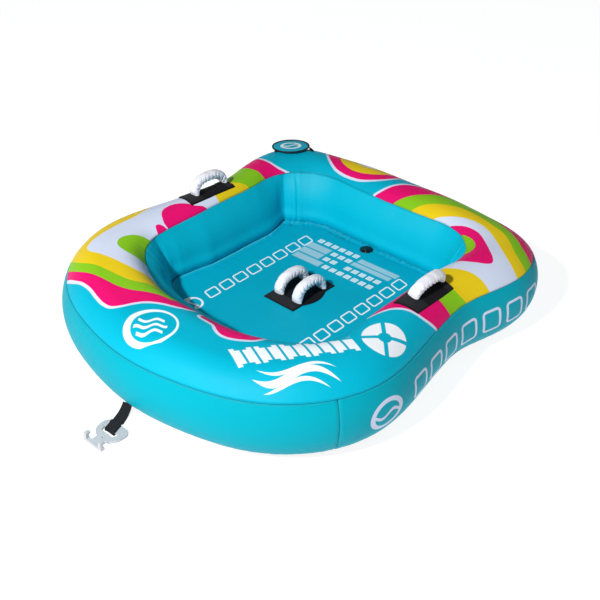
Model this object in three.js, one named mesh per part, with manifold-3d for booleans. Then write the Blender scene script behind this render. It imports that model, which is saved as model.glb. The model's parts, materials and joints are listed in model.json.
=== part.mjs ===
// Two-rider cockpit towable tube: inflatable ring and floor inside a sewn nylon
// cover, four carry grips on knuckle guards, a covered inflation valve, a floor
// valve, a cover zip and a tow strap with a quick connector.
// Millimetres, +Z up. Origin: middle of the flat underside, between the grips.
// -Y is the tow end, +Y the back, +X to the right for someone at the tow end facing the tube.
import * as THREE from 'three';
import { mergeVertices } from 'three/addons/utils/BufferGeometryUtils.js';
import Module from 'manifold-3d';

const wasm = await Module();
wasm.setup();

// ------------------------------------------------------------ driving dimensions
// Plan outline at the widest height: radius every 15 degrees from the tow end (-Y),
// the same on both sides.
const OUTLINE_R = [1027, 1027, 1039, 1021, 950, 831, 762, 785, 927, 993, 910, 845.5, 817];
const TUBE_HALF_HEIGHT = 190.6; // half the ring's height
const TUBE_HALF_WIDTH = 169.8; // widest point to crest, in plan
const TUBE_POWER = 2.055; // superellipse power of the outer half section
const SEAM_TOP = 0.608; // section angle of the seam between top and side panels
const SEAM_LOW = 0.95; // section angle of the seam between side and bottom panels
// Cockpit rim seam: [angle, radius], its height, and how full the deck is up to it.
const RIM_R = [[0, 613], [10, 625], [20, 643], [30, 657], [38, 675], [45, 684], [52, 670], [60, 617.5], [68, 576], [78, 545], [90, 534], [102, 545], [112, 577], [121, 635], [126, 659], [131, 670], [138, 668], [147, 640], [157, 584], [168, 546], [180, 532]];
const RIM_Z = [[0, 285], [25, 285], [38, 299], [50, 328], [62, 344], [90, 348], [130, 348], [150, 344], [180, 342]];
const DECK_POWER = [[0, 5.0], [40, 4.5], [60, 3.0], [90, 2.4], [180, 2.4]];
// Foot of the cockpit wall, where it meets the floor.
const FOOT_R = [[0, 470], [18, 492], [33, 545], [43, 583], [52, 601], [56, 597], [60, 568], [66, 530], [75, 484], [90, 465.5], [105, 482], [118, 525], [123, 573], [127.5, 626], [132.5, 606], [138, 600], [144, 584], [153, 541], [165, 496], [180, 475]];
const FLOOR_Z = 113; // top of the floor
const WALL_BULGE = 26; // swell of the cockpit wall towards the riders
const STATIONS = 40; // plan sections round the ring
const COVER_T = 1.6; // cover fabric with its lining
const BLADDER_IN = 5.5; // air chamber surface inside the cover surface
const FILM_T = 1.0; // air chamber film

const GRIP_SLEEVE_W = 23, GRIP_SLEEVE_H = 20; // half sizes of the padded sleeve
const GUARD_T = 4, STRIP_T = 1.5, GUARD_LIFT = 2.8, STRIP_GAP = 0.8;
const STRAP_W = 52, STRAP_T = 3;
const HOOK_X = 4, HOOK_T = 10;

// ------------------------------------------------------------ small tools
const D = Math.PI / 180;
const V = (x, y, z) => new THREE.Vector3(x, y, z);

function mirrored(table) {
  const out = table.map(([a, v]) => [a, v]);
  for (let i = table.length - 2; i > 0; i--) out.push([360 - table[i][0], table[i][1]]);
  return out; // one full turn, without the closing point
}

// Periodic cubic spline through equally spaced values.
function periodicSpline(values) {
  const n = values.length, h = (2 * Math.PI) / n;
  const A = Array.from({ length: n }, () => new Array(n + 1).fill(0));
  for (let i = 0; i < n; i++) {
    const p = (i + n - 1) % n, q = (i + 1) % n;
    A[i][p] += h / 6;
    A[i][i] += (2 * h) / 3;
    A[i][q] += h / 6;
    A[i][n] = (values[q] - 2 * values[i] + values[p]) / h;
  }
  for (let c = 0; c < n; c++) {
    for (let r = c + 1; r < n; r++) {
      const f = A[r][c] / A[c][c];
      if (f) for (let k = c; k <= n; k++) A[r][k] -= f * A[c][k];
    }
  }
  const M = new Array(n).fill(0);
  for (let r = n - 1; r >= 0; r--) {
    let s = A[r][n];
    for (let k = r + 1; k < n; k++) s -= A[r][k] * M[k];
    M[r] = s / A[r][r];
  }
  return (t) => {
    let x = (t / h) % n;
    if (x < 0) x += n;
    const i = Math.floor(x) % n, j = (i + 1) % n, b = x - Math.floor(x), a = 1 - b;
    return a * values[i] + b * values[j] + ((a ** 3 - a) * M[i] + (b ** 3 - b) * M[j]) * h * h / 6;
  };
}

// Periodic monotone cubic through uneven points.
function periodicMonotone(table) {
  const one = mirrored(table), n = one.length;
  const xs = [], ys = [];
  for (let k = -1; k <= 1; k++) for (const [a, v] of one) { xs.push((a + 360 * k) * D); ys.push(v); }
  xs.push((720 + one[0][0]) * D); ys.push(one[0][1]);
  const m = xs.length, h = [], d = [], s = new Array(m).fill(0);
  for (let i = 0; i < m - 1; i++) { h.push(xs[i + 1] - xs[i]); d.push((ys[i + 1] - ys[i]) / h[i]); }
  for (let i = 1; i < m - 1; i++) {
    if (d[i - 1] * d[i] <= 0) continue;
    const w1 = 2 * h[i] + h[i - 1], w2 = h[i] + 2 * h[i - 1];
    s[i] = (w1 + w2) / (w1 / d[i - 1] + w2 / d[i]);
  }
  return (t) => {
    let x = t % (2 * Math.PI);
    if (x < 0) x += 2 * Math.PI;
    let i = n - 1;
    while (xs[i + 1] <= x) i++;
    const u = (x - xs[i]) / h[i];
    const h00 = 2 * u ** 3 - 3 * u * u + 1, h10 = u ** 3 - 2 * u * u + u, h01 = -2 * u ** 3 + 3 * u * u, h11 = u ** 3 - u * u;
    return h00 * ys[i] + h10 * h[i] * s[i] + h01 * ys[i + 1] + h11 * h[i] * s[i + 1];
  };
}

const outlineR = periodicSpline([...OUTLINE_R, ...OUTLINE_R.slice(1, -1).reverse()]);
const rimR = periodicMonotone(RIM_R), rimZ = periodicMonotone(RIM_Z);
const deckP = periodicMonotone(DECK_POWER), footR = periodicMonotone(FOOT_R);
const polar = (r, a) => [r * Math.sin(a), -r * Math.cos(a)];

// The cover's outer surface at plan angle phi: row parameters are
// ['s', angle] on the outer half, ['u', 0..1] crest to rim, ['v', 0..1] rim to foot.
function station(phi) {
  const e = 1e-4;
  const P = polar(outlineR(phi), phi);
  const a1 = polar(outlineR(phi + e), phi + e), a0 = polar(outlineR(phi - e), phi - e);
  let nx = a1[1] - a0[1], ny = -(a1[0] - a0[0]);
  const l = Math.hypot(nx, ny);
  nx /= l; ny /= l;
  const C = [P[0] - nx * TUBE_HALF_WIDTH, P[1] - ny * TUBE_HALF_WIDTH];
  const a = Math.atan2(C[0], -C[1]);
  const G = polar(rimR(a), a), F = polar(footR(a), a), gz = rimZ(a), pw = deckP(a);
  return { P, n: [nx, ny], C, G, F, gz, pw };
}
function onSurface(st, kind, t) {
  const H = 2 * TUBE_HALF_HEIGHT;
  if (kind === 's') {
    const c = Math.abs(Math.cos(t)), s = Math.sin(t);
    const x = TUBE_HALF_WIDTH * c ** (2 / TUBE_POWER) - TUBE_HALF_WIDTH;
    const z = TUBE_HALF_HEIGHT * (1 + Math.sign(s) * Math.abs(s) ** (2 / TUBE_POWER));
    return V(st.P[0] + st.n[0] * x, st.P[1] + st.n[1] * x, z);
  }
  if (kind === 'u') {
    return V(st.C[0] * (1 - t) + st.G[0] * t, st.C[1] * (1 - t) + st.G[1] * t, H - (H - st.gz) * t ** st.pw);
  }
  const dx = st.F[0] - st.G[0], dy = st.F[1] - st.G[1], L = Math.hypot(dx, dy), hh = st.gz - FLOOR_Z;
  const ch = Math.hypot(L, hh), b = WALL_BULGE * Math.sin(Math.PI * t);
  const k = t * L + (hh / ch) * b;
  return V(st.G[0] + (dx / L) * k, st.G[1] + (dy / L) * k, st.gz - hh * t + (L / ch) * b);
}

// ------------------------------------------------------------ mesh building
function fromTriangles(points, tris) {
  let vol = 0;
  for (const [a, b, c] of tris) vol += points[a].dot(new THREE.Vector3().crossVectors(points[b], points[c]));
  const pos = [];
  for (const [a, b, c] of tris) for (const k of vol < 0 ? [a, c, b] : [a, b, c]) pos.push(points[k].x, points[k].y, points[k].z);
  const g = new THREE.BufferGeometry();
  g.setAttribute('position', new THREE.Float32BufferAttribute(pos, 3));
  g.computeVertexNormals();
  return g;
}

// A closed slab between an outer and an inner grid of points [i][j].
function slab(outer, inner, ring) {
  const ni = outer.length, nj = outer[0].length, pts = [], tris = [];
  for (const g of [outer, inner]) for (const row of g) for (const p of row) pts.push(p);
  const O = (i, j) => (i % ni) * nj + j, I = (i, j) => ni * nj + (i % ni) * nj + j;
  const quad = (a, b, c, d) => { tris.push([a, b, c], [a, c, d]); };
  const last = ring ? ni : ni - 1;
  for (let i = 0; i < last; i++) {
    for (let j = 0; j < nj - 1; j++) {
      quad(O(i, j), O(i + 1, j), O(i + 1, j + 1), O(i, j + 1));
      quad(I(i, j), I(i, j + 1), I(i + 1, j + 1), I(i + 1, j));
    }
    quad(O(i, 0), I(i, 0), I(i + 1, 0), O(i + 1, 0));
    quad(O(i, nj - 1), O(i + 1, nj - 1), I(i + 1, nj - 1), I(i, nj - 1));
  }
  if (!ring) for (let j = 0; j < nj - 1; j++) {
    quad(O(0, j), O(0, j + 1), I(0, j + 1), I(0, j));
    quad(O(ni - 1, j), I(ni - 1, j), I(ni - 1, j + 1), O(ni - 1, j + 1));
  }
  return fromTriangles(pts, tris);
}

// A tube whose section is a closed loop of points: hollow when inner is given.
function sweepClosed(loops) {
  // loops[i][j]: closed in j, open in i with flat fan caps
  const ni = loops.length, nj = loops[0].length, pts = [], tris = [];
  for (const l of loops) for (const p of l) pts.push(p);
  for (let i = 0; i < ni - 1; i++) for (let j = 0; j < nj; j++) {
    const a = i * nj + j, b = i * nj + (j + 1) % nj, c = (i + 1) * nj + (j + 1) % nj, d = (i + 1) * nj + j;
    tris.push([a, b, c], [a, c, d]);
  }
  for (const [base, flip] of [[0, true], [(ni - 1) * nj, false]]) {
    for (let j = 1; j < nj - 1; j++) tris.push(flip ? [base, base + j + 1, base + j] : [base, base + j, base + j + 1]);
  }
  return fromTriangles(pts, tris);
}

// Same sweep with a bore: ring caps instead of fans.
function sweepHollow(outer, inner) {
  const ni = outer.length, nj = outer[0].length, pts = [], tris = [];
  for (const g of [outer, inner]) for (const l of g) for (const p of l) pts.push(p);
  const O = (i, j) => i * nj + (j % nj), I = (i, j) => ni * nj + i * nj + (j % nj);
  const quad = (a, b, c, d) => { tris.push([a, b, c], [a, c, d]); };
  for (let i = 0; i < ni - 1; i++) for (let j = 0; j < nj; j++) {
    quad(O(i, j), O(i, j + 1), O(i + 1, j + 1), O(i + 1, j));
    quad(I(i, j), I(i + 1, j), I(i + 1, j + 1), I(i, j + 1));
  }
  for (let j = 0; j < nj; j++) {
    quad(O(0, j), I(0, j), I(0, j + 1), O(0, j + 1));
    quad(O(ni - 1, j), O(ni - 1, j + 1), I(ni - 1, j + 1), I(ni - 1, j));
  }
  return fromTriangles(pts, tris);
}

function solid(geometry) {
  const g = geometry.clone();
  for (const name of Object.keys(g.attributes)) if (name !== 'position') g.deleteAttribute(name);
  const m = mergeVertices(g.index ? g.toNonIndexed() : g, 1e-3);
  return new wasm.Manifold(new wasm.Mesh({ numProp: 3, vertProperties: new Float32Array(m.attributes.position.array), triVerts: new Uint32Array(m.index.array) }));
}
function geometryOf(manifold) {
  const m = manifold.getMesh(), g = new THREE.BufferGeometry(), n = m.numProp;
  const pos = new Float32Array((m.vertProperties.length / n) * 3);
  for (let i = 0; i < pos.length / 3; i++) pos.set(m.vertProperties.subarray(i * n, i * n + 3), i * 3);
  g.setAttribute('position', new THREE.BufferAttribute(pos, 3));
  g.setIndex(new THREE.BufferAttribute(new Uint32Array(m.triVerts), 1));
  g.computeVertexNormals();
  return g;
}
const cut = (a, ...bs) => geometryOf(bs.reduce((s, b) => s.subtract(solid(b)), solid(a)));
const join = (a, ...bs) => geometryOf(bs.reduce((s, b) => s.add(solid(b)), solid(a)));
const moved = (g, x, y, z) => g.clone().translate(x, y, z);
function lathe(profile, segments) { // profile [[r, z], ...] closed or on the axis
  return new THREE.LatheGeometry(profile.map(([r, z]) => new THREE.Vector2(r, z)), segments).rotateX(Math.PI / 2);
}
function plate(shape, z0, z1, curveSegments = 8) {
  return new THREE.ExtrudeGeometry(shape, { depth: z1 - z0, bevelEnabled: false, curveSegments }).translate(0, 0, z0);
}

// ------------------------------------------------------------ the cover grid
const ROWS = [
  ['s', -Math.PI / 2], ['s', -1.25], ['s', -SEAM_LOW],
  ['s', -0.69], ['s', -0.43], ['s', -0.17], ['s', 0.09], ['s', 0.35], ['s', SEAM_TOP],
  ['s', 0.88], ['s', 1.2], ['u', 0], ['u', 0.35], ['u', 0.65], ['u', 0.87], ['u', 1],
  ['v', 0.33], ['v', 0.67], ['v', 1],
];
const SIDE0 = 2, TOP0 = 8, RIM = 15, FOOT = 18;
const phiOf = (i) => (i / STATIONS) * 2 * Math.PI;
const stations = Array.from({ length: STATIONS }, (_, i) => station(phiOf(i)));
const GRID = stations.map((st) => ROWS.map(([k, t]) => onSurface(st, k, t)));

function normalsOf(rowsOf, phis) {
  // outward unit normals on the cover surface for stations phis and given rows
  return phis.map((phi) => {
    const e = 0.02, A = station(phi - e), B = station(phi + e), S = station(phi);
    return rowsOf.map(([k, t]) => {
      const dt = k === 's' ? 0.02 : 0.02;
      const lo = k === 's' ? Math.max(t - dt, -Math.PI / 2) : Math.max(t - dt, 0);
      const hi = k === 's' ? Math.min(t + dt, Math.PI / 2) : Math.min(t + dt, 1);
      const a = onSurface(B, k, t).sub(onSurface(A, k, t));
      const b = onSurface(S, k, hi).sub(onSurface(S, k, lo));
      return new THREE.Vector3().crossVectors(a, b).normalize();
    });
  });
}
// A panel between two rows of the grid, over stations i0..i1 (or all round).
function panel(rows, phis, ring) {
  const sts = phis.map(station);
  const outer = sts.map((st) => rows.map(([k, t]) => onSurface(st, k, t)));
  const n = normalsOf(rows, phis);
  const inner = outer.map((r, i) => r.map((p, j) => p.clone().addScaledVector(n[i][j], -COVER_T)));
  return slab(outer, inner, ring);
}
const ALL = Array.from({ length: STATIONS }, (_, i) => phiOf(i));

const materials = {
  turquoise: new THREE.MeshStandardMaterial({ color: 0x00b8d8, roughness: 0.55, metalness: 0 }),
  turquoise_dark: new THREE.MeshStandardMaterial({ color: 0x0094b4, roughness: 0.6, metalness: 0 }),
  bottom: new THREE.MeshStandardMaterial({ color: 0x1b2a33, roughness: 0.75, metalness: 0 }),
  print: new THREE.MeshStandardMaterial({ color: 0xf0187d, roughness: 0.55, metalness: 0 }),
  film: new THREE.MeshStandardMaterial({ color: 0x2b2f35, roughness: 0.5, metalness: 0 }),
  black: new THREE.MeshStandardMaterial({ color: 0x1c1b20, roughness: 0.8, metalness: 0 }),
  webbing: new THREE.MeshStandardMaterial({ color: 0x202126, roughness: 0.85, metalness: 0 }),
  white: new THREE.MeshStandardMaterial({ color: 0xeeeef4, roughness: 0.7, metalness: 0 }),
  plastic: new THREE.MeshStandardMaterial({ color: 0xf2f3f4, roughness: 0.35, metalness: 0 }),
  valve: new THREE.MeshStandardMaterial({ color: 0x15171c, roughness: 0.4, metalness: 0 }),
  metal: new THREE.MeshStandardMaterial({ color: 0xb0b2b5, roughness: 0.35, metalness: 0.9 }),
};
const part = new THREE.Group();
function node(name, geometry, material) {
  const m = new THREE.Mesh(geometry, materials[material].clone());
  m.name = name;
  part.add(m);
  return m;
}

// ------------------------------------------------------------ cover panels
const GAP = 0.004; // seam allowance in section angle, about 0.7 mm
const sideRows = [['s', -SEAM_LOW + GAP], ...ROWS.slice(SIDE0 + 1, TOP0), ['s', SEAM_TOP - GAP]];
// The side band is sewn from four panels; upright seams at the two front and two back corners.
const SEAM_FRONT = 49 * D, SEAM_BACK = 139 * D;
function arc(a0, a1) {
  const e = 0.0006, out = [a0 + e];
  for (let k = Math.floor(a0 / phiOf(1)) + 1; phiOf(k) < a1 - 0.02; k++) if (phiOf(k) > a0 + 0.02) out.push(phiOf(k));
  out.push(a1 - e);
  return out;
}
node('cover_side_front', panel(sideRows, arc(-SEAM_FRONT, SEAM_FRONT), false), 'turquoise');
node('cover_side_right', panel(sideRows, arc(SEAM_FRONT, SEAM_BACK), false), 'turquoise_dark');
node('cover_side_back', panel(sideRows, arc(SEAM_BACK, 2 * Math.PI - SEAM_BACK), false), 'turquoise_dark');
node('cover_side_left', panel(sideRows, arc(2 * Math.PI - SEAM_BACK, 2 * Math.PI - SEAM_FRONT), false), 'turquoise');

// Main valve position on the crest of the back left corner.
const VALVE_PHI = 227.7 * D;
const vs = station(VALVE_PHI);
const VALVE = [-634, 577]; // plan position
const CREST = 2 * TUBE_HALF_HEIGHT;
const topRows = [['s', SEAM_TOP + GAP], ...ROWS.slice(TOP0 + 1, RIM + 1)];
const topPanel = panel(topRows, ALL, true);
node('cover_top', cut(topPanel, new THREE.CylinderGeometry(42, 42, 60, 20).rotateX(Math.PI / 2).translate(VALVE[0], VALVE[1], CREST)), 'print');
node('cover_cockpit_wall', panel([['v', 0.012], ...ROWS.slice(RIM + 1)], ALL, true), 'turquoise');

// Bottom panel: curved margin and a flat sheet right across.
{
  const rows = [['s', -SEAM_LOW - GAP], ['s', -1.25], ['s', -Math.PI / 2]];
  const outer = stations.map((st) => rows.map(([k, t]) => onSurface(st, k, t)));
  const n = normalsOf(rows, ALL);
  n.forEach((r) => r[2].set(0, 0, -1));
  const inner = outer.map((r, i) => r.map((p, j) => p.clone().addScaledVector(n[i][j], -COVER_T)));
  const pts = [], tris = [], nj = 3, N = STATIONS;
  for (const g of [outer, inner]) for (const r of g) for (const p of r) pts.push(p);
  const O = (i, j) => (i % N) * nj + j, I = (i, j) => N * nj + (i % N) * nj + j;
  pts.push(V(0, 0, 0), V(0, 0, COVER_T));
  const oc = pts.length - 2, ic = pts.length - 1;
  for (let i = 0; i < N; i++) {
    for (let j = 0; j < nj - 1; j++) {
      tris.push([O(i, j), O(i, j + 1), O(i + 1, j + 1)], [O(i, j), O(i + 1, j + 1), O(i + 1, j)]);
      tris.push([I(i, j), I(i + 1, j + 1), I(i, j + 1)], [I(i, j), I(i + 1, j), I(i + 1, j + 1)]);
    }
    tris.push([O(i, 0), O(i + 1, 0), I(i + 1, 0)], [O(i, 0), I(i + 1, 0), I(i, 0)]);
    tris.push([O(i, 2), oc, O(i + 1, 2)], [I(i, 2), I(i + 1, 2), ic]);
  }
  node('cover_bottom', fromTriangles(pts, tris), 'bottom');
}

// ------------------------------------------------------------ floor
const FLOOR_VALVE = [-27, 440];
function footLoop(inset, z) {
  return stations.map((st) => {
    const l = Math.hypot(...st.F);
    return V(st.F[0] * (1 - inset / l), st.F[1] * (1 - inset / l), z);
  });
}
function closedStack(loops) { // stack of loops closed by fans at both ends
  const N = loops[0].length, pts = loops.flat(), tris = [];
  for (let k = 0; k < loops.length - 1; k++) for (let i = 0; i < N; i++) {
    const a = k * N + i, b = k * N + (i + 1) % N, c = (k + 1) * N + (i + 1) % N, d = (k + 1) * N + i;
    tris.push([a, b, c], [a, c, d]);
  }
  const c0 = pts.length, c1 = pts.length + 1;
  pts.push(V(0, 0, loops[0][0].z), V(0, 0, loops[loops.length - 1][0].z));
  const L = (loops.length - 1) * N;
  for (let i = 0; i < N; i++) {
    tris.push([c0, (i + 1) % N, i], [c1, L + i, L + (i + 1) % N]);
  }
  return fromTriangles(pts, tris);
}
const post = (x, y, r, z0, z1, seg = 16) => new THREE.CylinderGeometry(r, r, z1 - z0, seg).rotateX(Math.PI / 2).translate(x, y, (z0 + z1) / 2);
node('floor_cover', cut(closedStack([footLoop(4, FLOOR_Z - 1.6), footLoop(4, FLOOR_Z)]), post(...FLOOR_VALVE, 20, FLOOR_Z - 10, FLOOR_Z + 10)), 'turquoise_dark');
{
  const t = FLOOR_Z - 3.6;
  const outer = closedStack([footLoop(26, 4), footLoop(11, 22), footLoop(11, t - 18), footLoop(24, t)]);
  const inner = closedStack([footLoop(27, 4 + FILM_T), footLoop(12, 22.5), footLoop(12, t - 18.5), footLoop(25, t - FILM_T)]);
  node('floor_air_chamber', cut(outer, inner, post(...FLOOR_VALVE, 17, t - 12, t + 6)), 'film');
}

// ------------------------------------------------------------ main air chamber
{
  const rows = [['s', -Math.PI / 2], ['s', -1.05], ['s', -0.6], ['s', -0.17], ['s', 0.26], ['s', 0.7], ['s', 1.2], ['u', 0], ['u', 0.35], ['u', 0.65], ['u', 0.87], ['u', 1], ['v', 0.33], ['v', 0.67], ['v', 1]];
  const loop = stations.map((st) => {
    const r = rows.map(([k, t]) => onSurface(st, k, t));
    const l = Math.hypot(...st.F), o = 3 / l;
    r[r.length - 1].set(st.F[0] * (1 + o), st.F[1] * (1 + o), FLOOR_Z);
    r.push(V(st.F[0] * (1 + o), st.F[1] * (1 + o), 20));
    r.push(V(st.F[0] * (1 + 20 / l), st.F[1] * (1 + 20 / l), 0));
    r.push(V((st.F[0] + r[0].x) / 2, (st.F[1] + r[0].y) / 2, 0));
    return r;
  });
  const ni = loop.length, nj = loop[0].length;
  const normal = (i, j) => {
    const a = loop[(i + 1) % ni][j].clone().sub(loop[(i + ni - 1) % ni][j]);
    const p = loop[i][(j + nj - 1) % nj], q = loop[i][j], r = loop[i][(j + 1) % nj];
    const t1 = q.clone().sub(p).normalize(), t2 = r.clone().sub(q).normalize();
    return new THREE.Vector3().crossVectors(a, t1.add(t2)).normalize();
  };
  const at = (off) => loop.map((l, i) => l.map((p, j) => p.clone().addScaledVector(normal(i, j), -off)));
  const torus = (g) => {
    const pts = g.flat(), tris = [];
    for (let i = 0; i < ni; i++) for (let j = 0; j < nj; j++) {
      const a = i * nj + j, b = i * nj + (j + 1) % nj, c = ((i + 1) % ni) * nj + (j + 1) % nj, d = ((i + 1) % ni) * nj + j;
      tris.push([a, d, c], [a, c, b]);
    }
    return fromTriangles(pts, tris);
  };
  node('main_air_chamber', cut(torus(at(BLADDER_IN)), torus(at(BLADDER_IN + FILM_T)), post(...VALVE, 22, CREST - 60, CREST + 10)), 'film');
}

// ------------------------------------------------------------ heights on the top cover
function topZ(x, y) {
  let best = -1;
  for (let i = 0; i < STATIONS; i++) for (let j = TOP0 - 1; j < RIM; j++) {
    const q = [GRID[i][j], GRID[(i + 1) % STATIONS][j], GRID[(i + 1) % STATIONS][j + 1], GRID[i][j + 1]];
    for (const [a, b, c] of [[q[0], q[1], q[2]], [q[0], q[2], q[3]]]) {
      const d = (b.y - c.y) * (a.x - c.x) + (c.x - b.x) * (a.y - c.y);
      const u = ((b.y - c.y) * (x - c.x) + (c.x - b.x) * (y - c.y)) / d;
      const v = ((c.y - a.y) * (x - c.x) + (a.x - c.x) * (y - c.y)) / d, w = 1 - u - v;
      if (u > -1e-6 && v > -1e-6 && w > -1e-6) best = Math.max(best, u * a.z + v * b.z + w * c.z);
    }
  }
  return best;
}

// ------------------------------------------------------------ knuckle guards
// Outer guards lie over the crest of each side: corners front-in, front-out, back-out, back-in.
const GUARD = [[571, -136], [678, -121], [667, 127], [556, 119]];
function drape(side, v0, v1, nu, nv, lift, t, u0 = 0, u1 = 1) {
  const outer = [], inner = [];
  for (let k = 0; k <= nv; k++) {
    const v = v0 + ((v1 - v0) * k) / nv, ro = [], ri = [];
    for (let m = 0; m <= nu; m++) {
      const u = u0 + ((u1 - u0) * m) / nu;
      const x = side * ((GUARD[0][0] * (1 - v) + GUARD[3][0] * v) * (1 - u) + (GUARD[1][0] * (1 - v) + GUARD[2][0] * v) * u);
      const y = (GUARD[0][1] * (1 - v) + GUARD[3][1] * v) * (1 - u) + (GUARD[1][1] * (1 - v) + GUARD[2][1] * v) * u;
      const z = topZ(x, y) + lift;
      ro.push(V(x, y, z + t)); ri.push(V(x, y, z));
    }
    outer.push(ro); inner.push(ri);
  }
  return slab(outer, inner, false);
}
for (const [side, name] of [[1, 'right'], [-1, 'left']]) {
  node(`guard_${name}`, drape(side, 0, 1, 8, 9, GUARD_LIFT, GUARD_T), 'black');
  node(`guard_${name}_strip_front`, drape(side, 0.01, 0.31, 8, 3, GUARD_LIFT + GUARD_T + STRIP_GAP, STRIP_T, 0.01, 0.99), 'webbing');
  node(`guard_${name}_strip_back`, drape(side, 0.86, 0.99, 8, 2, GUARD_LIFT + GUARD_T + STRIP_GAP, STRIP_T, 0.01, 0.99), 'webbing');
}
const CG = { x0: -105, x1: 68, y0: -161, y1: 109 };
const CG_Z = FLOOR_Z + 0.4;
{
  const s = new THREE.Shape();
  s.moveTo(CG.x0, CG.y0); s.lineTo(CG.x1, CG.y0); s.lineTo(CG.x1, -100);
  s.quadraticCurveTo(CG.x1 + 24, -30, CG.x1, 45);
  s.lineTo(CG.x1, CG.y1); s.lineTo(CG.x0, CG.y1); s.lineTo(CG.x0, 45);
  s.quadraticCurveTo(CG.x0 - 24, -30, CG.x0, -100);
  s.closePath();
  node('guard_centre', plate(s, CG_Z, CG_Z + GUARD_T), 'black');
  for (const [name, y0, y1] of [['front', CG.y0 + 2, -98], ['back', 52, CG.y1 - 2]]) {
    const r = new THREE.Shape();
    r.moveTo(CG.x0 + 2, y0); r.lineTo(CG.x1 - 2, y0); r.lineTo(CG.x1 - 2, y1); r.lineTo(CG.x0 + 2, y1); r.closePath();
    node(`guard_centre_strip_${name}`, plate(r, CG_Z + GUARD_T + 0.4, CG_Z + GUARD_T + 0.4 + STRIP_T), 'webbing');
  }
}

// ------------------------------------------------------------ grips
// Each grip: a padded sleeve on a webbing loop standing over its guard, leaning about
// the line between its two feet.
function arch(y0, y1, x, base, rise, lean, skew, n, t0, t1) {
  // centreline points and frames; lean in radians about the foot line
  const out = [];
  for (let k = 0; k <= n; k++) {
    const tau = (t0 + ((t1 - t0) * k) / n) * Math.PI, p = 2 / 2.5;
    const c = Math.cos(tau), s = Math.sin(tau);
    const yy = (y0 + y1) / 2 - ((y1 - y0) / 2) * Math.sign(c) * Math.abs(c) ** p + skew * s;
    const hh = rise * Math.abs(s) ** p;
    out.push([yy, hh]);
  }
  return out.map(([yy, hh], k) => {
    const a = out[Math.max(0, k - 1)], b = out[Math.min(n, k + 1)];
    let ty = b[0] - a[0], th = b[1] - a[1];
    const l = Math.hypot(ty, th); ty /= l; th /= l;
    const at = (w, h) => { // w across (x), h outwards in the arch plane
      const Y = yy + h * -th, Hh = hh + h * ty;
      return V(x + w * Math.cos(lean) + Hh * Math.sin(lean), Y, base - w * Math.sin(lean) + Hh * Math.cos(lean));
    };
    return { at, k: k / n };
  });
}
function grip(name, o) {
  const sec = arch(o.y0, o.y1, o.x, o.base, o.rise, o.lean, o.skew, 12, 0.03, 0.97);
  const NS = 8;
  const loop = (w, h, f) => Array.from({ length: NS }, (_, j) => {
    const a = ((j + 0.5) / NS) * 2 * Math.PI;
    return f.at(w * Math.cos(a) / Math.cos(Math.PI / NS), h * Math.sin(a) / Math.cos(Math.PI / NS));
  });
  const taper = (k) => 0.6 + 0.4 * Math.min(1, Math.min(k, 1 - k) / 0.12);
  node(`${name}_sleeve`, sweepHollow(
    sec.map((f) => loop(GRIP_SLEEVE_W * taper(f.k), GRIP_SLEEVE_H * taper(f.k), f)),
    sec.map((f) => loop(12.2 * (0.75 + 0.25 * taper(f.k)), 4.2, f))), 'white');
  const core = arch(o.y0, o.y1, o.x, o.base, o.rise, o.lean, o.skew, 16, 0.006, 0.994);
  node(`${name}_webbing`, sweepClosed(core.map((f) => {
    const w = 5 + 4.7 * Math.min(1, Math.min(f.k, 1 - f.k) / 0.08);
    return [f.at(-w, -1.2), f.at(w, -1.2), f.at(w, 1.2), f.at(-w, 1.2)];
  })), 'webbing');
}
const GRIP_Z = CREST + GUARD_LIFT + GUARD_T + STRIP_GAP + STRIP_T; // top of the guard strips at the crest
const CENTRE_Z = CG_Z + GUARD_T + 0.4 + STRIP_T;
grip('grip_left', { x: -613, y0: -76, y1: 98, base: GRIP_Z + 1.5, rise: 72, lean: 0, skew: -12 });
grip('grip_right', { x: 613, y0: -66, y1: 106, base: GRIP_Z + 1.5, rise: 50, lean: 22 * D, skew: 10 });
grip('grip_centre_left', { x: -64, y0: -106, y1: 50, base: CENTRE_Z + 1.5, rise: 76, lean: 0, skew: 0 });
grip('grip_centre_right', { x: 40, y0: -106, y1: 50, base: CENTRE_Z + 1.5, rise: 74, lean: 0, skew: 0 });

// ------------------------------------------------------------ main valve and its flap
const VZ = CREST - BLADDER_IN; // chamber's outer surface at the crest
node('main_valve_base', moved(lathe([[15, -14], [20, -14], [20, 0.8], [36, 0.8], [36, 2.8], [20, 2.8], [20, 9], [15, 9], [15, -14]], 20), VALVE[0], VALVE[1], VZ + 1.6), 'valve');
node('main_valve_insert', moved(lathe([[0, -10], [14.6, -10], [14.6, 9.4], [19, 9.4], [19, 11], [0, 11], [0, -10]], 20), VALVE[0], VALVE[1], VZ + 1.6), 'valve');
node('main_valve_cap', moved(lathe([[0, 11.4], [21, 11.4], [21, 4], [23, 4], [23, 14], [21.5, 15.4], [0, 15.4], [0, 11.4]], 20), VALVE[0], VALVE[1], VZ + 1.6), 'valve');
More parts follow.
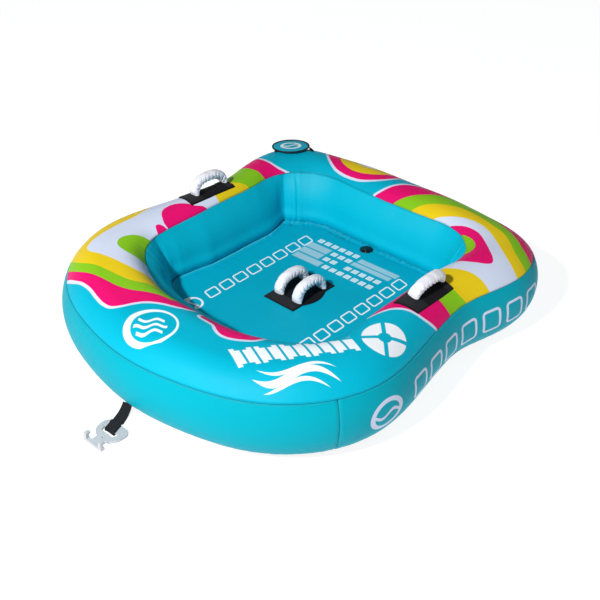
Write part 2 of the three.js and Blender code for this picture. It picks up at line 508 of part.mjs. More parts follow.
// Oval flap, long axis along the tube.
const FLAP_L = 90, FLAP_W = 68; // half sizes
const FLAP_DIR = Math.atan2(0.74, 0.67); // direction of the long axis in plan
const FLAP_Z = VZ + 1.6 + 15.4 + 1.2;
const flapGroup = new THREE.Group();
flapGroup.position.set(VALVE[0], VALVE[1], 0);
flapGroup.rotation.z = FLAP_DIR;
part.add(flapGroup);
function flapNode(name, geometry, material) {
  const m = new THREE.Mesh(geometry, materials[material].clone());
  m.name = name;
  flapGroup.add(m);
}
function oval(a, b) { const s = new THREE.Shape(); s.absellipse(0, 0, a, b, 0, 2 * Math.PI, false, 0); return s; }
flapNode('valve_flap', plate(oval(FLAP_L - 4.5, FLAP_W - 4.5), FLAP_Z, FLAP_Z + 3, 16), 'turquoise_dark');
{
  const n = 32, loops = [];
  const pts = [], tris = [];
  for (let i = 0; i < n; i++) {
    const a = (i / n) * 2 * Math.PI;
    for (let j = 0; j < 6; j++) {
      const b = (j / 6) * 2 * Math.PI, r = 3.6 * Math.cos(b);
      pts.push(V((FLAP_L + r) * Math.cos(a), (FLAP_W + r) * Math.sin(a), FLAP_Z + 1.5 + 4.2 * Math.sin(b)));
    }
  }
  for (let i = 0; i < n; i++) for (let j = 0; j < 6; j++) {
    const A = i * 6 + j, B = i * 6 + (j + 1) % 6, C = ((i + 1) % n) * 6 + (j + 1) % 6, E = ((i + 1) % n) * 6 + j;
    tris.push([A, B, C], [A, C, E]);
  }
  flapNode('valve_flap_piping', fromTriangles(pts, tris), 'black');
}
// Hook-and-loop closure at the front end and the sewn hinge tab at the back end.
const box = (x0, x1, y0, y1, z0, z1) => new THREE.BoxGeometry(x1 - x0, y1 - y0, z1 - z0).translate((x0 + x1) / 2, (y0 + y1) / 2, (z0 + z1) / 2);
flapNode('valve_flap_hook_tape', box(-78, -54, -22, 22, FLAP_Z - 2, FLAP_Z - 0.4), 'black');
flapNode('valve_flap_loop_pad', box(-80, -52, -24, 24, CREST + 1.2, FLAP_Z - 2.6), 'black');
flapNode('valve_flap_hinge_tab', box(99, 112, -30, 30, CREST + 1.0, FLAP_Z + 0.5), 'webbing');

// ------------------------------------------------------------ floor valve
node('floor_valve_base', moved(lathe([[13, -14], [16, -14], [16, 0.5], [32, 0.5], [32, 2], [30, 3.6], [16, 3.6], [16, 7], [13, 7], [13, -14]], 20), FLOOR_VALVE[0], FLOOR_VALVE[1], FLOOR_Z), 'valve');
node('floor_valve_cap', moved(lathe([[0, 7.4], [17, 7.4], [17, 4.2], [19, 4.2], [19, 9], [17.5, 10.4], [0, 10.4], [0, 7.4]], 20), FLOOR_VALVE[0], FLOOR_VALVE[1], FLOOR_Z), 'valve');

// ------------------------------------------------------------ cover zip on the back, below the widest line
{
  // lies on one row of facets, from row 3 to row 4, stations 18..22 (x about +-270 mm)
  const J = 3, at = (i, f, lift) => {
    const a = GRID[i][J], b = GRID[i][J + 1];
    const ty = b.clone().sub(a);
    const n = new THREE.Vector3().crossVectors(GRID[i + 1][J].clone().sub(GRID[i - 1][J]), ty).normalize();
    return a.clone().lerp(b, f).addScaledVector(n, lift);
  };
  const strip = (f0, f1, l0, l1) => {
    const outer = [], inner = [];
    for (let i = 18; i <= 22; i++) {
      outer.push([at(i, f0, l1), at(i, f1, l1)]);
      inner.push([at(i, f0, l0), at(i, f1, l0)]);
    }
    return slab(outer, inner, false);
  };
  node('zip_tape_lower', strip(0.06, 0.44, 0.6, 1.6), 'webbing');
  node('zip_tape_upper', strip(0.56, 0.94, 0.6, 1.6), 'webbing');
  node('zip_teeth', strip(0.47, 0.53, 0.6, 2.6), 'black');
  // slider at mid length, with its pull hanging straight down from the slider's eye
  const c = at(20, 0.5, 0), up = GRID[20][J + 1].clone().sub(GRID[20][J]).normalize();
  const out = V(-1, 0, 0).cross(up).normalize();
  const m = new THREE.Matrix4().makeBasis(V(-1, 0, 0), up, out).setPosition(c);
  const place = (g) => g.clone().applyMatrix4(m);
  node('zip_slider', join(place(box(-9, 9, -7, 7, 3.4, 5.6)), place(box(-3, -1.6, -2.5, 2.5, 5.4, 9.5)), place(box(1.6, 3, -2.5, 2.5, 5.4, 9.5))), 'metal');
  const eye = c.clone().addScaledVector(out, 7.7); // pull's hinge line, along X
  const hang = Math.atan2(up.y, up.z);
  const pull = join(place(box(-1.2, 1.2, -1.4, 1.4, 6.4, 9)), place(box(-4, 4, -34, -3.4, 6.4, 8.4)), place(box(-1.2, 1.2, -4.4, -1, 6.4, 8.4)));
  pull.translate(-eye.x, -eye.y, -eye.z).rotateX(hang).translate(eye.x, eye.y, eye.z);
  node('zip_pull', pull, 'black');
}

// ------------------------------------------------------------ tow anchor, strap and connector
const ROOT = V(-60, -958, 34);
function ribbon(path, width, t) { // path of [x, y, z] centre points, section along X
  return sweepClosed(path.map(([x, y, z], k) => {
    const a = path[Math.max(0, k - 1)], b = path[Math.min(path.length - 1, k + 1)];
    const dy = b[1] - a[1], dz = b[2] - a[2], l = Math.hypot(dy, dz);
    const ny = -dz / l, nz = dy / l;
    return [V(x - width / 2, y + (ny * t) / 2, z + (nz * t) / 2), V(x + width / 2, y + (ny * t) / 2, z + (nz * t) / 2),
      V(x + width / 2, y - (ny * t) / 2, z - (nz * t) / 2), V(x - width / 2, y - (ny * t) / 2, z - (nz * t) / 2)];
  }));
}
// Anchor patch sewn to the bottom panel's front margin, behind the strap's root.
{
  const at = (phi, s, lift) => {
    const i = Math.floor(phi / phiOf(1)), f = phi / phiOf(1) - i;
    const A = stations[(i + STATIONS) % STATIONS], B = stations[(i + 1 + STATIONS) % STATIONS];
    const a = onSurface(A, 's', s), b = onSurface(B, 's', s);
    const n = normalsOf([['s', s]], [phi])[0][0];
    return a.lerp(b, f).addScaledVector(n, lift);
  };
  const grid = (lift) => [-7.4, -6, -4.6, -3.2, -1.8, -0.4].map((d) => [-1.18, -1.09, -1.0].map((s) => at(d * D, s, lift)));
  node('tow_anchor_patch', slab(grid(3.4), grid(1.6), false), 'webbing');
}
const STRAP_PATH = [[-61, -962, 32], [-58, -969, 24], [-53, -982, 14], [-47, -997, 7.2], [-39, -1015, 4.2], [-30, -1034, 4.6]];
node('tow_strap', ribbon(STRAP_PATH, STRAP_W, STRAP_T), 'webbing');
const LOOP_PATH = [[-27, -1040, 5.6], [-22, -1050, 11.2], [-16, -1062, 13.4], [-6, -1090, 13.4], [-2, -1099.5, 12.2], [-1, -1104, 7.4], [-2, -1099.5, 2.8], [-6, -1090, 1.9], [-13, -1068, 1.9]];
node('tow_strap_end_loop', ribbon(LOOP_PATH, STRAP_W, 2.4), 'webbing');
{
  // Quick connector: a rounded frame with a webbing bar, a neck with a lanyard hole and
  // a cross bar with two raised prongs.
  const s = new THREE.Shape();
  const X = HOOK_X;
  s.moveTo(X - 40, -1050);
  s.quadraticCurveTo(X - 70, -1054, X - 70, -1084);
  s.quadraticCurveTo(X - 70, -1132, X - 22, -1148);
  s.lineTo(X - 20, -1172); s.lineTo(X - 50, -1172); s.lineTo(X - 50, -1190); s.lineTo(X + 54, -1190); s.lineTo(X + 54, -1172);
  s.lineTo(X + 26, -1172); s.lineTo(X + 28, -1148);
  s.quadraticCurveTo(X + 64, -1128, X + 62, -1084);
  s.quadraticCurveTo(X + 62, -1054, X + 34, -1050);
  s.closePath();
  const slot = new THREE.Path();
  slot.moveTo(X - 44, -1094); slot.lineTo(X + 36, -1094); slot.lineTo(X + 30, -1116); slot.lineTo(X - 36, -1116); slot.closePath();
  s.holes.push(slot);
  const eye = new THREE.Path();
  eye.absellipse(X + 2, -1138, 5.5, 5.5, 0, 2 * Math.PI, true, 0);
  s.holes.push(eye);
  let hook = plate(s, 1, 1 + HOOK_T, 6);
  hook = cut(hook, box(X - 56, X + 40, -1096, -1040, 8.6, 30), box(X - 56, X + 40, -1096, -1040, -5, 4.2));
  const prong = (x) => box(x - 8, x + 8, -1189, -1175, 8, 34);
  const tip = (x) => box(x - 7, x + 7, -1188, -1166, 26, 37);
  node('tow_hook', join(hook, prong(X - 41), prong(X + 45), tip(X - 41), tip(X + 45)), 'plastic');
}

export default part;
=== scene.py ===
# Looks of the two-rider towable tube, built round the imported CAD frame.
# Metres, +Z up, the row's own frame. Everything here is computed from the dimensions below.
import json
import math

import bpy
import numpy as np
from mathutils import Vector
from mathutils.bvhtree import BVHTree
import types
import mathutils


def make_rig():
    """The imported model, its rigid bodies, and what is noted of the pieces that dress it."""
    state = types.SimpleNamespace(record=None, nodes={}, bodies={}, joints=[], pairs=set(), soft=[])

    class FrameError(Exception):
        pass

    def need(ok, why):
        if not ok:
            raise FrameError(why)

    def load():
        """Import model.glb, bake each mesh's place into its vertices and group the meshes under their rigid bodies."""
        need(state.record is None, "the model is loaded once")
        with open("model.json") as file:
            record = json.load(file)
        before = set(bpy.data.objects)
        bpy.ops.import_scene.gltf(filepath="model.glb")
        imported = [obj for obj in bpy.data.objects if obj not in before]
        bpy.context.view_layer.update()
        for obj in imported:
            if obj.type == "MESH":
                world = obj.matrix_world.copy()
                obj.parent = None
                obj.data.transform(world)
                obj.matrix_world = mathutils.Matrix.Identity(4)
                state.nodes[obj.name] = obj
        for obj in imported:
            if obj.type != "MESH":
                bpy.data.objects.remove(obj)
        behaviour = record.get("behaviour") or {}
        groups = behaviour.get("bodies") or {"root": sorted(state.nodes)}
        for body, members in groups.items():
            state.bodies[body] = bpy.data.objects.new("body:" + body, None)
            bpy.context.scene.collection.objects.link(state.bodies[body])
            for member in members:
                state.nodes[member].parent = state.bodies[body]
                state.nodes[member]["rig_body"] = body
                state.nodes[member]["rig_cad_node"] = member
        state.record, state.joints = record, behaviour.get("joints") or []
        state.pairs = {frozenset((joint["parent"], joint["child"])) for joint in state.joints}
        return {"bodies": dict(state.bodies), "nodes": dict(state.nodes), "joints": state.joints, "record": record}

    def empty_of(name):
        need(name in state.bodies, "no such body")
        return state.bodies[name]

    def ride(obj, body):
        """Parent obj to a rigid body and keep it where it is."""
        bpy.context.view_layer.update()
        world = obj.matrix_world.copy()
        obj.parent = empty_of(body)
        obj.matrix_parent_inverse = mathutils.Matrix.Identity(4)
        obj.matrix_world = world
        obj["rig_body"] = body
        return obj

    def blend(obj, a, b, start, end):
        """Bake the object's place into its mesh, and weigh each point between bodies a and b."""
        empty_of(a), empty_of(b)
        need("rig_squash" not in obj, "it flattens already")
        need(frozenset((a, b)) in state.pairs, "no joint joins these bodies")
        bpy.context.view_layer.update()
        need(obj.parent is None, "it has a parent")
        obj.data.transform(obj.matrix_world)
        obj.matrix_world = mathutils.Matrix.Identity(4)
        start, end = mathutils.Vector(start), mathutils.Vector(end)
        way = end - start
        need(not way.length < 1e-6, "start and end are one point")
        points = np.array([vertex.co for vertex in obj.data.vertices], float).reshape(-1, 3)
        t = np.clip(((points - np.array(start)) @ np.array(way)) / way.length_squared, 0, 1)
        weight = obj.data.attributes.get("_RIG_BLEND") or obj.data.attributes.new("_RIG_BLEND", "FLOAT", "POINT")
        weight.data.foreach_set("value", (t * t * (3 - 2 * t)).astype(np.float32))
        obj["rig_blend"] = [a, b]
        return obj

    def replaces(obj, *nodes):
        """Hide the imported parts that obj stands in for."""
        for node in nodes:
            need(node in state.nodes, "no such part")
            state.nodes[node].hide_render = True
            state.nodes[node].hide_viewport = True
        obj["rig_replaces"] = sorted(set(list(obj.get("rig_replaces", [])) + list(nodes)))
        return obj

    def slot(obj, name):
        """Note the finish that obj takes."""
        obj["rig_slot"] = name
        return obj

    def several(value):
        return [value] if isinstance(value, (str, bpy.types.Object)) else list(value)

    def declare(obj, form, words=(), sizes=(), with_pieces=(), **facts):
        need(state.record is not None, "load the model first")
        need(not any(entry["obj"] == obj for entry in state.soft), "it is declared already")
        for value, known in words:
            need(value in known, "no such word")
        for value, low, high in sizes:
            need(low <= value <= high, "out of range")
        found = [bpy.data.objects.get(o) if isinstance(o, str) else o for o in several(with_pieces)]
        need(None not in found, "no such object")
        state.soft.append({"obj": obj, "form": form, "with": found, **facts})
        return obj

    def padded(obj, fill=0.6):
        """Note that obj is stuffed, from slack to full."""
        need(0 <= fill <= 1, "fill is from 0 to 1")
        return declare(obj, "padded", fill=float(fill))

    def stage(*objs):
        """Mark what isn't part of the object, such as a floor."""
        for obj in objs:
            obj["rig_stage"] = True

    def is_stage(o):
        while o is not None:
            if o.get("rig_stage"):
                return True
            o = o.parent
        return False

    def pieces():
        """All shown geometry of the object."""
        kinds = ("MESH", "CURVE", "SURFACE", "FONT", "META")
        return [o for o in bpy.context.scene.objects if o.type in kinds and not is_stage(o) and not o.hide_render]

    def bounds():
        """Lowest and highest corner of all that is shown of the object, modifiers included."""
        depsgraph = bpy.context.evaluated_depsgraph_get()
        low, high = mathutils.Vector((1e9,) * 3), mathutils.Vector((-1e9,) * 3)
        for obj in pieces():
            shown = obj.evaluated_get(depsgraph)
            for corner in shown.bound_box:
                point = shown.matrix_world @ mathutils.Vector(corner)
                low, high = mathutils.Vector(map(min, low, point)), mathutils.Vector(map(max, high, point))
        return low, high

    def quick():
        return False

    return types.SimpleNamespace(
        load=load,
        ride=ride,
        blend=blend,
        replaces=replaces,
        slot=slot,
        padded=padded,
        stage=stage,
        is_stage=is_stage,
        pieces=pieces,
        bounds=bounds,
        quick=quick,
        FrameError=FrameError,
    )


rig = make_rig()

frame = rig.load()
CAD_BOX = [list(v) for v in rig.bounds()]
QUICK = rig.quick()
D = math.pi / 180
col = bpy.context.scene.collection

# ------------------------------------------------------------------ camera, light, stage
AZ, EL, DIST, LENS = 42.704 * D, 33.997 * D, 4.378, 61.73
TARGET = Vector((0.0589, -0.1074, 0.1425))
back = Vector((math.sin(AZ) * math.cos(EL), -math.cos(AZ) * math.cos(EL), math.sin(EL)))
cd = bpy.data.cameras.new("camera")
cd.lens, cd.sensor_width, cd.clip_start, cd.clip_end = LENS, 36.0, 0.05, 100.0
cam = bpy.data.objects.new("camera", cd)
col.objects.link(cam)
cam.location = TARGET + back * DIST
cam.rotation_mode = "QUATERNION"
cam.rotation_quaternion = (-back).to_track_quat("-Z", "Y")
bpy.context.scene.camera = cam
bpy.context.scene.view_settings.view_transform = "Standard"
bpy.context.scene.view_settings.look = "None"


def area(name, where, target, size, power, colour=(1, 1, 1)):
    d = bpy.data.lights.new(name, "AREA")
    d.shape, d.size, d.energy, d.color = "DISK", size, power, colour
    o = bpy.data.objects.new(name, d)
    o.location = where
    o.rotation_mode = "QUATERNION"
    o.rotation_quaternion = (Vector(target) - Vector(where)).to_track_quat("-Z", "Y")
    col.objects.link(o)
    return o


area("key", (0.85, -4.79, 4.36), (0, 0, 0.2), 0.45, 436, (1.0, 0.995, 0.98))
area("top", (0.4, 0.2, 6.0), (0, 0, 0.2), 4.0, 12, (0.96, 0.98, 1.0))
world = bpy.data.worlds.new("studio")
bpy.context.scene.world = world
world.use_nodes = True
bg = next(n for n in world.node_tree.nodes if n.type == "BACKGROUND")
bg.inputs["Color"].default_value = (0.93, 0.96, 1.0, 1)
bg.inputs["Strength"].default_value = 0.16


# ------------------------------------------------------------------ shader expressions
def lin(r, g, b):
    f = lambda c: c / 12.92 if c <= 0.04045 else ((c + 0.055) / 1.055) ** 2.4
    return tuple(f(v / 255) for v in (r, g, b))


class X:
    """A value in a node tree: + - * / and the functions below add Math nodes."""

    tree = None

    def __init__(self, v):
        self.v = v

    @staticmethod
    def op(kind, *args):
        n = X.tree.nodes.new("ShaderNodeMath")
        n.operation = kind
        for i, a in enumerate(args):
            a = a.v if isinstance(a, X) else a
            if isinstance(a, (int, float)):
                n.inputs[i].default_value = float(a)
            else:
                X.tree.links.new(a, n.inputs[i])
        return X(n.outputs[0])

    def __add__(s, o):
        return X.op("ADD", s, o)

    __radd__ = __add__

    def __sub__(s, o):
        return X.op("SUBTRACT", s, o)

    def __rsub__(s, o):
        return X.op("SUBTRACT", o, s)

    def __mul__(s, o):
        return X.op("MULTIPLY", s, o)

    __rmul__ = __mul__

    def __truediv__(s, o):
        return X.op("DIVIDE", s, o)

    def __neg__(s):
        return X.op("MULTIPLY", s, -1.0)


xabs = lambda a: X.op("ABSOLUTE", a)
xmin = lambda a, b: X.op("MINIMUM", a, b)
xmax = lambda a, b: X.op("MAXIMUM", a, b)
xsin = lambda a: X.op("SINE", a)
xsqrt = lambda a: X.op("SQRT", a)
xfloor = lambda a: X.op("FLOOR", a)
xfract = lambda a: X.op("FRACT", a)
xatan2 = lambda a, b: X.op("ARCTAN2", a, b)


def xlen(a, b):
    return xsqrt(a * a + b * b)


def inside(sd, soft=0.0012):
    """1 where a signed distance is negative, with a soft edge this wide."""
    n = X.tree.nodes.new("ShaderNodeMapRange")
    n.interpolation_type = "SMOOTHSTEP"
    X.tree.links.new(sd.v, n.inputs[0])
    n.inputs[1].default_value, n.inputs[2].default_value = -soft, soft
    n.inputs[3].default_value, n.inputs[4].default_value = 1.0, 0.0
    return X(n.outputs[0])


def ramp(v, a, b, lo=0.0, hi=1.0):
    n = X.tree.nodes.new("ShaderNodeMapRange")
    X.tree.links.new(v.v, n.inputs[0])
    for i, k in enumerate((a, b, lo, hi)):
        n.inputs[i + 1].default_value = k
    return X(n.outputs[0])


def rounded_box(x, y, hx, hy, r):
    qx, qy = xabs(x) - (hx - r), xabs(y) - (hy - r)
    return xlen(xmax(qx, 0.0), xmax(qy, 0.0)) + xmin(xmax(qx, qy), 0.0) - r


def mix(f, a, b):
    n = X.tree.nodes.new("ShaderNodeMix")
    n.data_type = "RGBA"
    for i, v in ((0, f), (6, a), (7, b)):
        if isinstance(v, X):
            v = v.v
        if isinstance(v, (int, float)):
            n.inputs[i].default_value = v
        elif isinstance(v, tuple):
            n.inputs[i].default_value = (*v[:3], 1.0)
        else:
            X.tree.links.new(v, n.inputs[i])
    return n.outputs[2]


def attr(name):
    n = X.tree.nodes.new("ShaderNodeAttribute")
    n.attribute_name = name
    return X(n.outputs["Fac"])


def coords():
    """The piece's own coordinates, which are the row frame's, as (x, y, z) and the vector."""
    t = X.tree.nodes.new("ShaderNodeTexCoord")
    s = X.tree.nodes.new("ShaderNodeSeparateXYZ")
    X.tree.links.new(t.outputs["Object"], s.inputs[0])
    return X(s.outputs[0]), X(s.outputs[1]), X(s.outputs[2]), t.outputs["Object"]


def noise(vec, scale, detail=2.0, rough=0.5, stretch=None):
    if stretch:
        m = X.tree.nodes.new("ShaderNodeMapping")
        m.inputs["Scale"].default_value = stretch
        X.tree.links.new(vec, m.inputs["Vector"])
        vec = m.outputs[0]
    n = X.tree.nodes.new("ShaderNodeTexNoise")
    n.inputs["Scale"].default_value = scale
    n.inputs["Detail"].default_value = detail
    n.inputs["Roughness"].default_value = rough
    X.tree.links.new(vec, n.inputs["Vector"])
    return X(n.outputs["Fac"])


def combine(x, y, z=0.0):
    n = X.tree.nodes.new("ShaderNodeCombineXYZ")
    for i, v in enumerate((x, y, z)):
        if isinstance(v, X):
            X.tree.links.new(v.v, n.inputs[i])
        else:
            n.inputs[i].default_value = v
    return n.outputs[0]


def bump(height, distance, strength=1.0, below=None):
    n = X.tree.nodes.new("ShaderNodeBump")
    n.inputs["Strength"].default_value = strength
    n.inputs["Distance"].default_value = distance
    X.tree.links.new(height.v if isinstance(height, X) else height, n.inputs["Height"])
    if below is not None:
        X.tree.links.new(below, n.inputs["Normal"])
    return n.outputs[0]


def material(name, build, rough=0.5, metallic=0.0, specular=0.5, sheen=0.0, sheen_rough=0.4, coat=0.0, coat_rough=0.2):
    """build(bsdf) links what varies; the constant sockets are set here."""
    m = bpy.data.materials.new(name)
    m.use_nodes = True
    X.tree = m.node_tree
    b = next(n for n in m.node_tree.nodes if n.type == "BSDF_PRINCIPLED")
    b.inputs["Roughness"].default_value = rough
    b.inputs["Metallic"].default_value = metallic
    b.inputs["Specular IOR Level"].default_value = specular
    b.inputs["Sheen Weight"].default_value = sheen
    b.inputs["Sheen Roughness"].default_value = sheen_rough
    b.inputs["Coat Weight"].default_value = coat
    b.inputs["Coat Roughness"].default_value = coat_rough
    build(b)
    return m


def link(sock, b, name):
    X.tree.links.new(sock.v if isinstance(sock, X) else sock, b.inputs[name])


# ------------------------------------------------------------------ the tube's surface, as in the CAD
OUTLINE_R = [1027, 1027, 1039, 1021, 950, 831, 762, 785, 927, 993, 910, 845.5, 817]
HH, HW, POWER = 0.1906, 0.1698, 2.055
SEAM_TOP, SEAM_LOW = 0.608, 0.95
RIM_R = [[0, 613], [10, 625], [20, 643], [30, 657], [38, 675], [45, 684], [52, 670], [60, 617.5], [68, 576], [78, 545], [90, 534], [102, 545], [112, 577], [121, 635], [126, 659], [131, 670], [138, 668], [147, 640], [157, 584], [168, 546], [180, 532]]
RIM_Z = [[0, 285], [25, 285], [38, 299], [50, 328], [62, 344], [90, 348], [130, 348], [150, 344], [180, 342]]
DECK_POWER = [[0, 5.0], [40, 4.5], [60, 3.0], [90, 2.4], [180, 2.4]]
FOOT_R = [[0, 470], [18, 492], [33, 545], [43, 583], [52, 601], [56, 597], [60, 568], [66, 530], [75, 484], [90, 465.5], [105, 482], [118, 525], [123, 573], [127.5, 626], [132.5, 606], [138, 600], [144, 584], [153, 541], [165, 496], [180, 475]]
FLOOR = 0.113
BULGE = 0.026


def mirrored(t):
    return [list(r) for r in t] + [[360 - a, v] for a, v in t[-2:0:-1]]


def periodic_spline(values):
    v = np.array(values, float)
    n = len(v)
    h = 2 * np.pi / n
    A, b = np.zeros((n, n)), np.zeros(n)
    for i in range(n):
        p, q = (i - 1) % n, (i + 1) % n
        A[i, p] += h / 6
        A[i, i] += 2 * h / 3
        A[i, q] += h / 6
        b[i] = (v[q] - 2 * v[i] + v[p]) / h
    M = np.linalg.solve(A, b)

    def f(t):
        x = np.mod(np.asarray(t, float) / h, n)
        i = np.floor(x).astype(int) % n
        j = (i + 1) % n
        bb = x - np.floor(x)
        aa = 1 - bb
        return aa * v[i] + bb * v[j] + ((aa**3 - aa) * M[i] + (bb**3 - bb) * M[j]) * h * h / 6

    return f


def periodic_monotone(table, unit=1.0):
    one = mirrored(table)
    n = len(one)
    xs, ys = [], []
    for k in (-1, 0, 1):
        for a, v in one:
            xs.append((a + 360 * k) * D)
            ys.append(v * unit)
    xs.append((720 + one[0][0]) * D)
    ys.append(one[0][1] * unit)
    xs, ys = np.array(xs), np.array(ys)
    h = np.diff(xs)
    d = np.diff(ys) / h
    s = np.zeros(len(xs))
    for i in range(1, len(xs) - 1):
        if d[i - 1] * d[i] > 0:
            w1, w2 = 2 * h[i] + h[i - 1], h[i] + 2 * h[i - 1]
            s[i] = (w1 + w2) / (w1 / d[i - 1] + w2 / d[i])

    def f(t):
        x = np.mod(np.asarray(t, float), 2 * np.pi)
        i = np.clip(np.searchsorted(xs, x, side="right") - 1, 0, len(h) - 1)
        u = (x - xs[i]) / h[i]
        return (2 * u**3 - 3 * u * u + 1) * ys[i] + (u**3 - 2 * u * u + u) * h[i] * s[i] + (-2 * u**3 + 3 * u * u) * ys[i + 1] + (u**3 - u * u) * h[i] * s[i + 1]

    return f


outline_r = periodic_spline([r / 1000 for r in OUTLINE_R + OUTLINE_R[-2:0:-1]])
rim_r, rim_z = periodic_monotone(RIM_R, 0.001), periodic_monotone(RIM_Z, 0.001)
deck_p, foot_r = periodic_monotone(DECK_POWER), periodic_monotone(FOOT_R, 0.001)


def polar(r, a):
    return np.stack([r * np.sin(a), -r * np.cos(a)], -1)


def stations(phi):
    e = 1e-4
    P = polar(outline_r(phi), phi)
    t = polar(outline_r(phi + e), phi + e) - polar(outline_r(phi - e), phi - e)
    n = np.stack([t[:, 1], -t[:, 0]], -1)
    n /= np.linalg.norm(n, axis=1)[:, None]
    C = P - n * HW
    a = np.arctan2(C[:, 0], -C[:, 1])
    return {"P": P, "n": n, "C": C, "a": a, "G": polar(rim_r(a), a), "F": polar(foot_r(a), a), "gz": rim_z(a), "pw": deck_p(a)}


def surface(st, rows):
    """Points for [(kind, t), ...] rows at these stations: shape (stations, rows, 3)."""
    out = np.zeros((len(st["P"]), len(rows), 3))
    H = 2 * HH
    for j, (k, t) in enumerate(rows):
        if k == "s":
            c, s = abs(math.cos(t)), math.sin(t)
            x = HW * c ** (2 / POWER) - HW
            out[:, j, :2] = st["P"] + st["n"] * x
            out[:, j, 2] = HH * (1 + math.copysign(abs(s) ** (2 / POWER), s))
        elif k == "u":
            out[:, j, :2] = st["C"] * (1 - t) + st["G"] * t
            out[:, j, 2] = H - (H - st["gz"]) * t ** st["pw"]
        else:
            d = st["F"] - st["G"]
            L = np.linalg.norm(d, axis=1)
            hh = st["gz"] - FLOOR
            ch = np.hypot(L, hh)
            b = BULGE * math.sin(math.pi * t)
            k2 = t * L + hh / ch * b
            out[:, j, :2] = st["G"] + d / L[:, None] * k2[:, None]
            out[:, j, 2] = st["gz"] - hh * t + L / ch * b
    return out


def grid_normals(P, ring=True):
    if ring:
        di = np.roll(P, -1, 0) - np.roll(P, 1, 0)
    else:
        di = np.gradient(P, axis=0)
    n = np.cross(di, np.gradient(P, axis=1))
    return n / np.maximum(np.linalg.norm(n, axis=2, keepdims=True), 1e-12)


def across(P):
    """Distance along each section from its first row."""
    d = np.linalg.norm(np.diff(P, axis=1), axis=2)
    return np.concatenate([np.zeros((len(P), 1)), np.cumsum(d, 1)], 1)


RNG = np.random.RandomState(11)


def wobble(x, step, seed):
    """Smooth 1D noise in -1..1 of x with bumps about this far apart."""
    r = np.random.RandomState(seed).uniform(-1, 1, 4096)
    t = np.asarray(x, float) / step + 1000.0
    i = np.floor(t).astype(int)
    f = t - i
    f = f * f * (3 - 2 * f)
    return r[i % 4096] * (1 - f) + r[(i + 1) % 4096] * f


def piece(name, verts, faces, mat, attrs=None, smooth=True, body="tube", slot=None, replaces=(), ride=True):
    me = bpy.data.meshes.new(name)
    me.from_pydata(np.asarray(verts, float).tolist(), [], [list(map(int, f)) for f in faces])
    me.validate()
    for k, v in (attrs or {}).items():
        a = me.attributes.new(k, "FLOAT", "POINT")
        a.data.foreach_set("value", np.asarray(v, np.float32).ravel())
    if smooth:
        me.polygons.foreach_set("use_smooth", [True] * len(me.polygons))
    me.materials.append(mat)
    me.update()
    o = bpy.data.objects.new(name, me)
    col.objects.link(o)
    if slot:
        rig.slot(o, slot)
    if replaces:
        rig.replaces(o, *replaces)
    if ride:
        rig.ride(o, body)
    return o


def grid_faces(ni, nj, ring, base=0, flip=False):
    i = np.arange(ni if ring else ni - 1)[:, None]
    j = np.arange(nj - 1)[None]
    a, b = i * nj + j, ((i + 1) % ni) * nj + j
    f = np.stack([a, b, b + 1, a + 1], -1).reshape(-1, 4) + base
    return f[:, ::-1] if flip else f


# ------------------------------------------------------------------ printed artwork, in plan
def smooth_loop(pts, n=7):
    """Closed centripetal Catmull-Rom through the points."""
    p = np.array(pts, float)
    out = []
    m = len(p)
    for i in range(m):
        p0, p1, p2, p3 = p[i - 1], p[i], p[(i + 1) % m], p[(i + 2) % m]
        t1 = np.linalg.norm(p1 - p0) ** 0.5 + 1e-9
        t2 = t1 + np.linalg.norm(p2 - p1) ** 0.5 + 1e-9
        t3 = t2 + np.linalg.norm(p3 - p2) ** 0.5 + 1e-9
        for t in np.linspace(t1, t2, n, endpoint=False):
            a1 = (t1 - t) / t1 * p0 + t / t1 * p1
            a2 = (t2 - t) / (t2 - t1) * p1 + (t - t1) / (t2 - t1) * p2
            a3 = (t3 - t) / (t3 - t2) * p2 + (t - t2) / (t3 - t2) * p3
            b1 = (t2 - t) / t2 * a1 + t / t2 * a2
            b2 = (t3 - t) / (t3 - t1) * a2 + (t - t1) / (t3 - t1) * a3
            out.append((t2 - t) / (t2 - t1) * b1 + (t - t1) / (t2 - t1) * b2)
    return np.array(out)


def signed(points, loop):
    """Signed distance of plan points to a closed loop, negative inside."""
    a, b = loop, np.roll(loop, -1, 0)
    best = np.full(len(points), 1e9)
    odd = np.zeros(len(points), bool)
    px, py = points[:, 0], points[:, 1]
    for (ax, ay), (bx, by) in zip(a, b):
        dx, dy = bx - ax, by - ay
        l2 = dx * dx + dy * dy + 1e-18
        t = np.clip(((px - ax) * dx + (py - ay) * dy) / l2, 0, 1)
        best = np.minimum(best, (px - ax - t * dx) ** 2 + (py - ay - t * dy) ** 2)
        if ay != by:
            hit = (ay > py) != (by > py)
            odd ^= hit & (px < ax + (py - ay) / (by - ay) * dx)
    return np.where(odd, -1, 1) * np.sqrt(best)


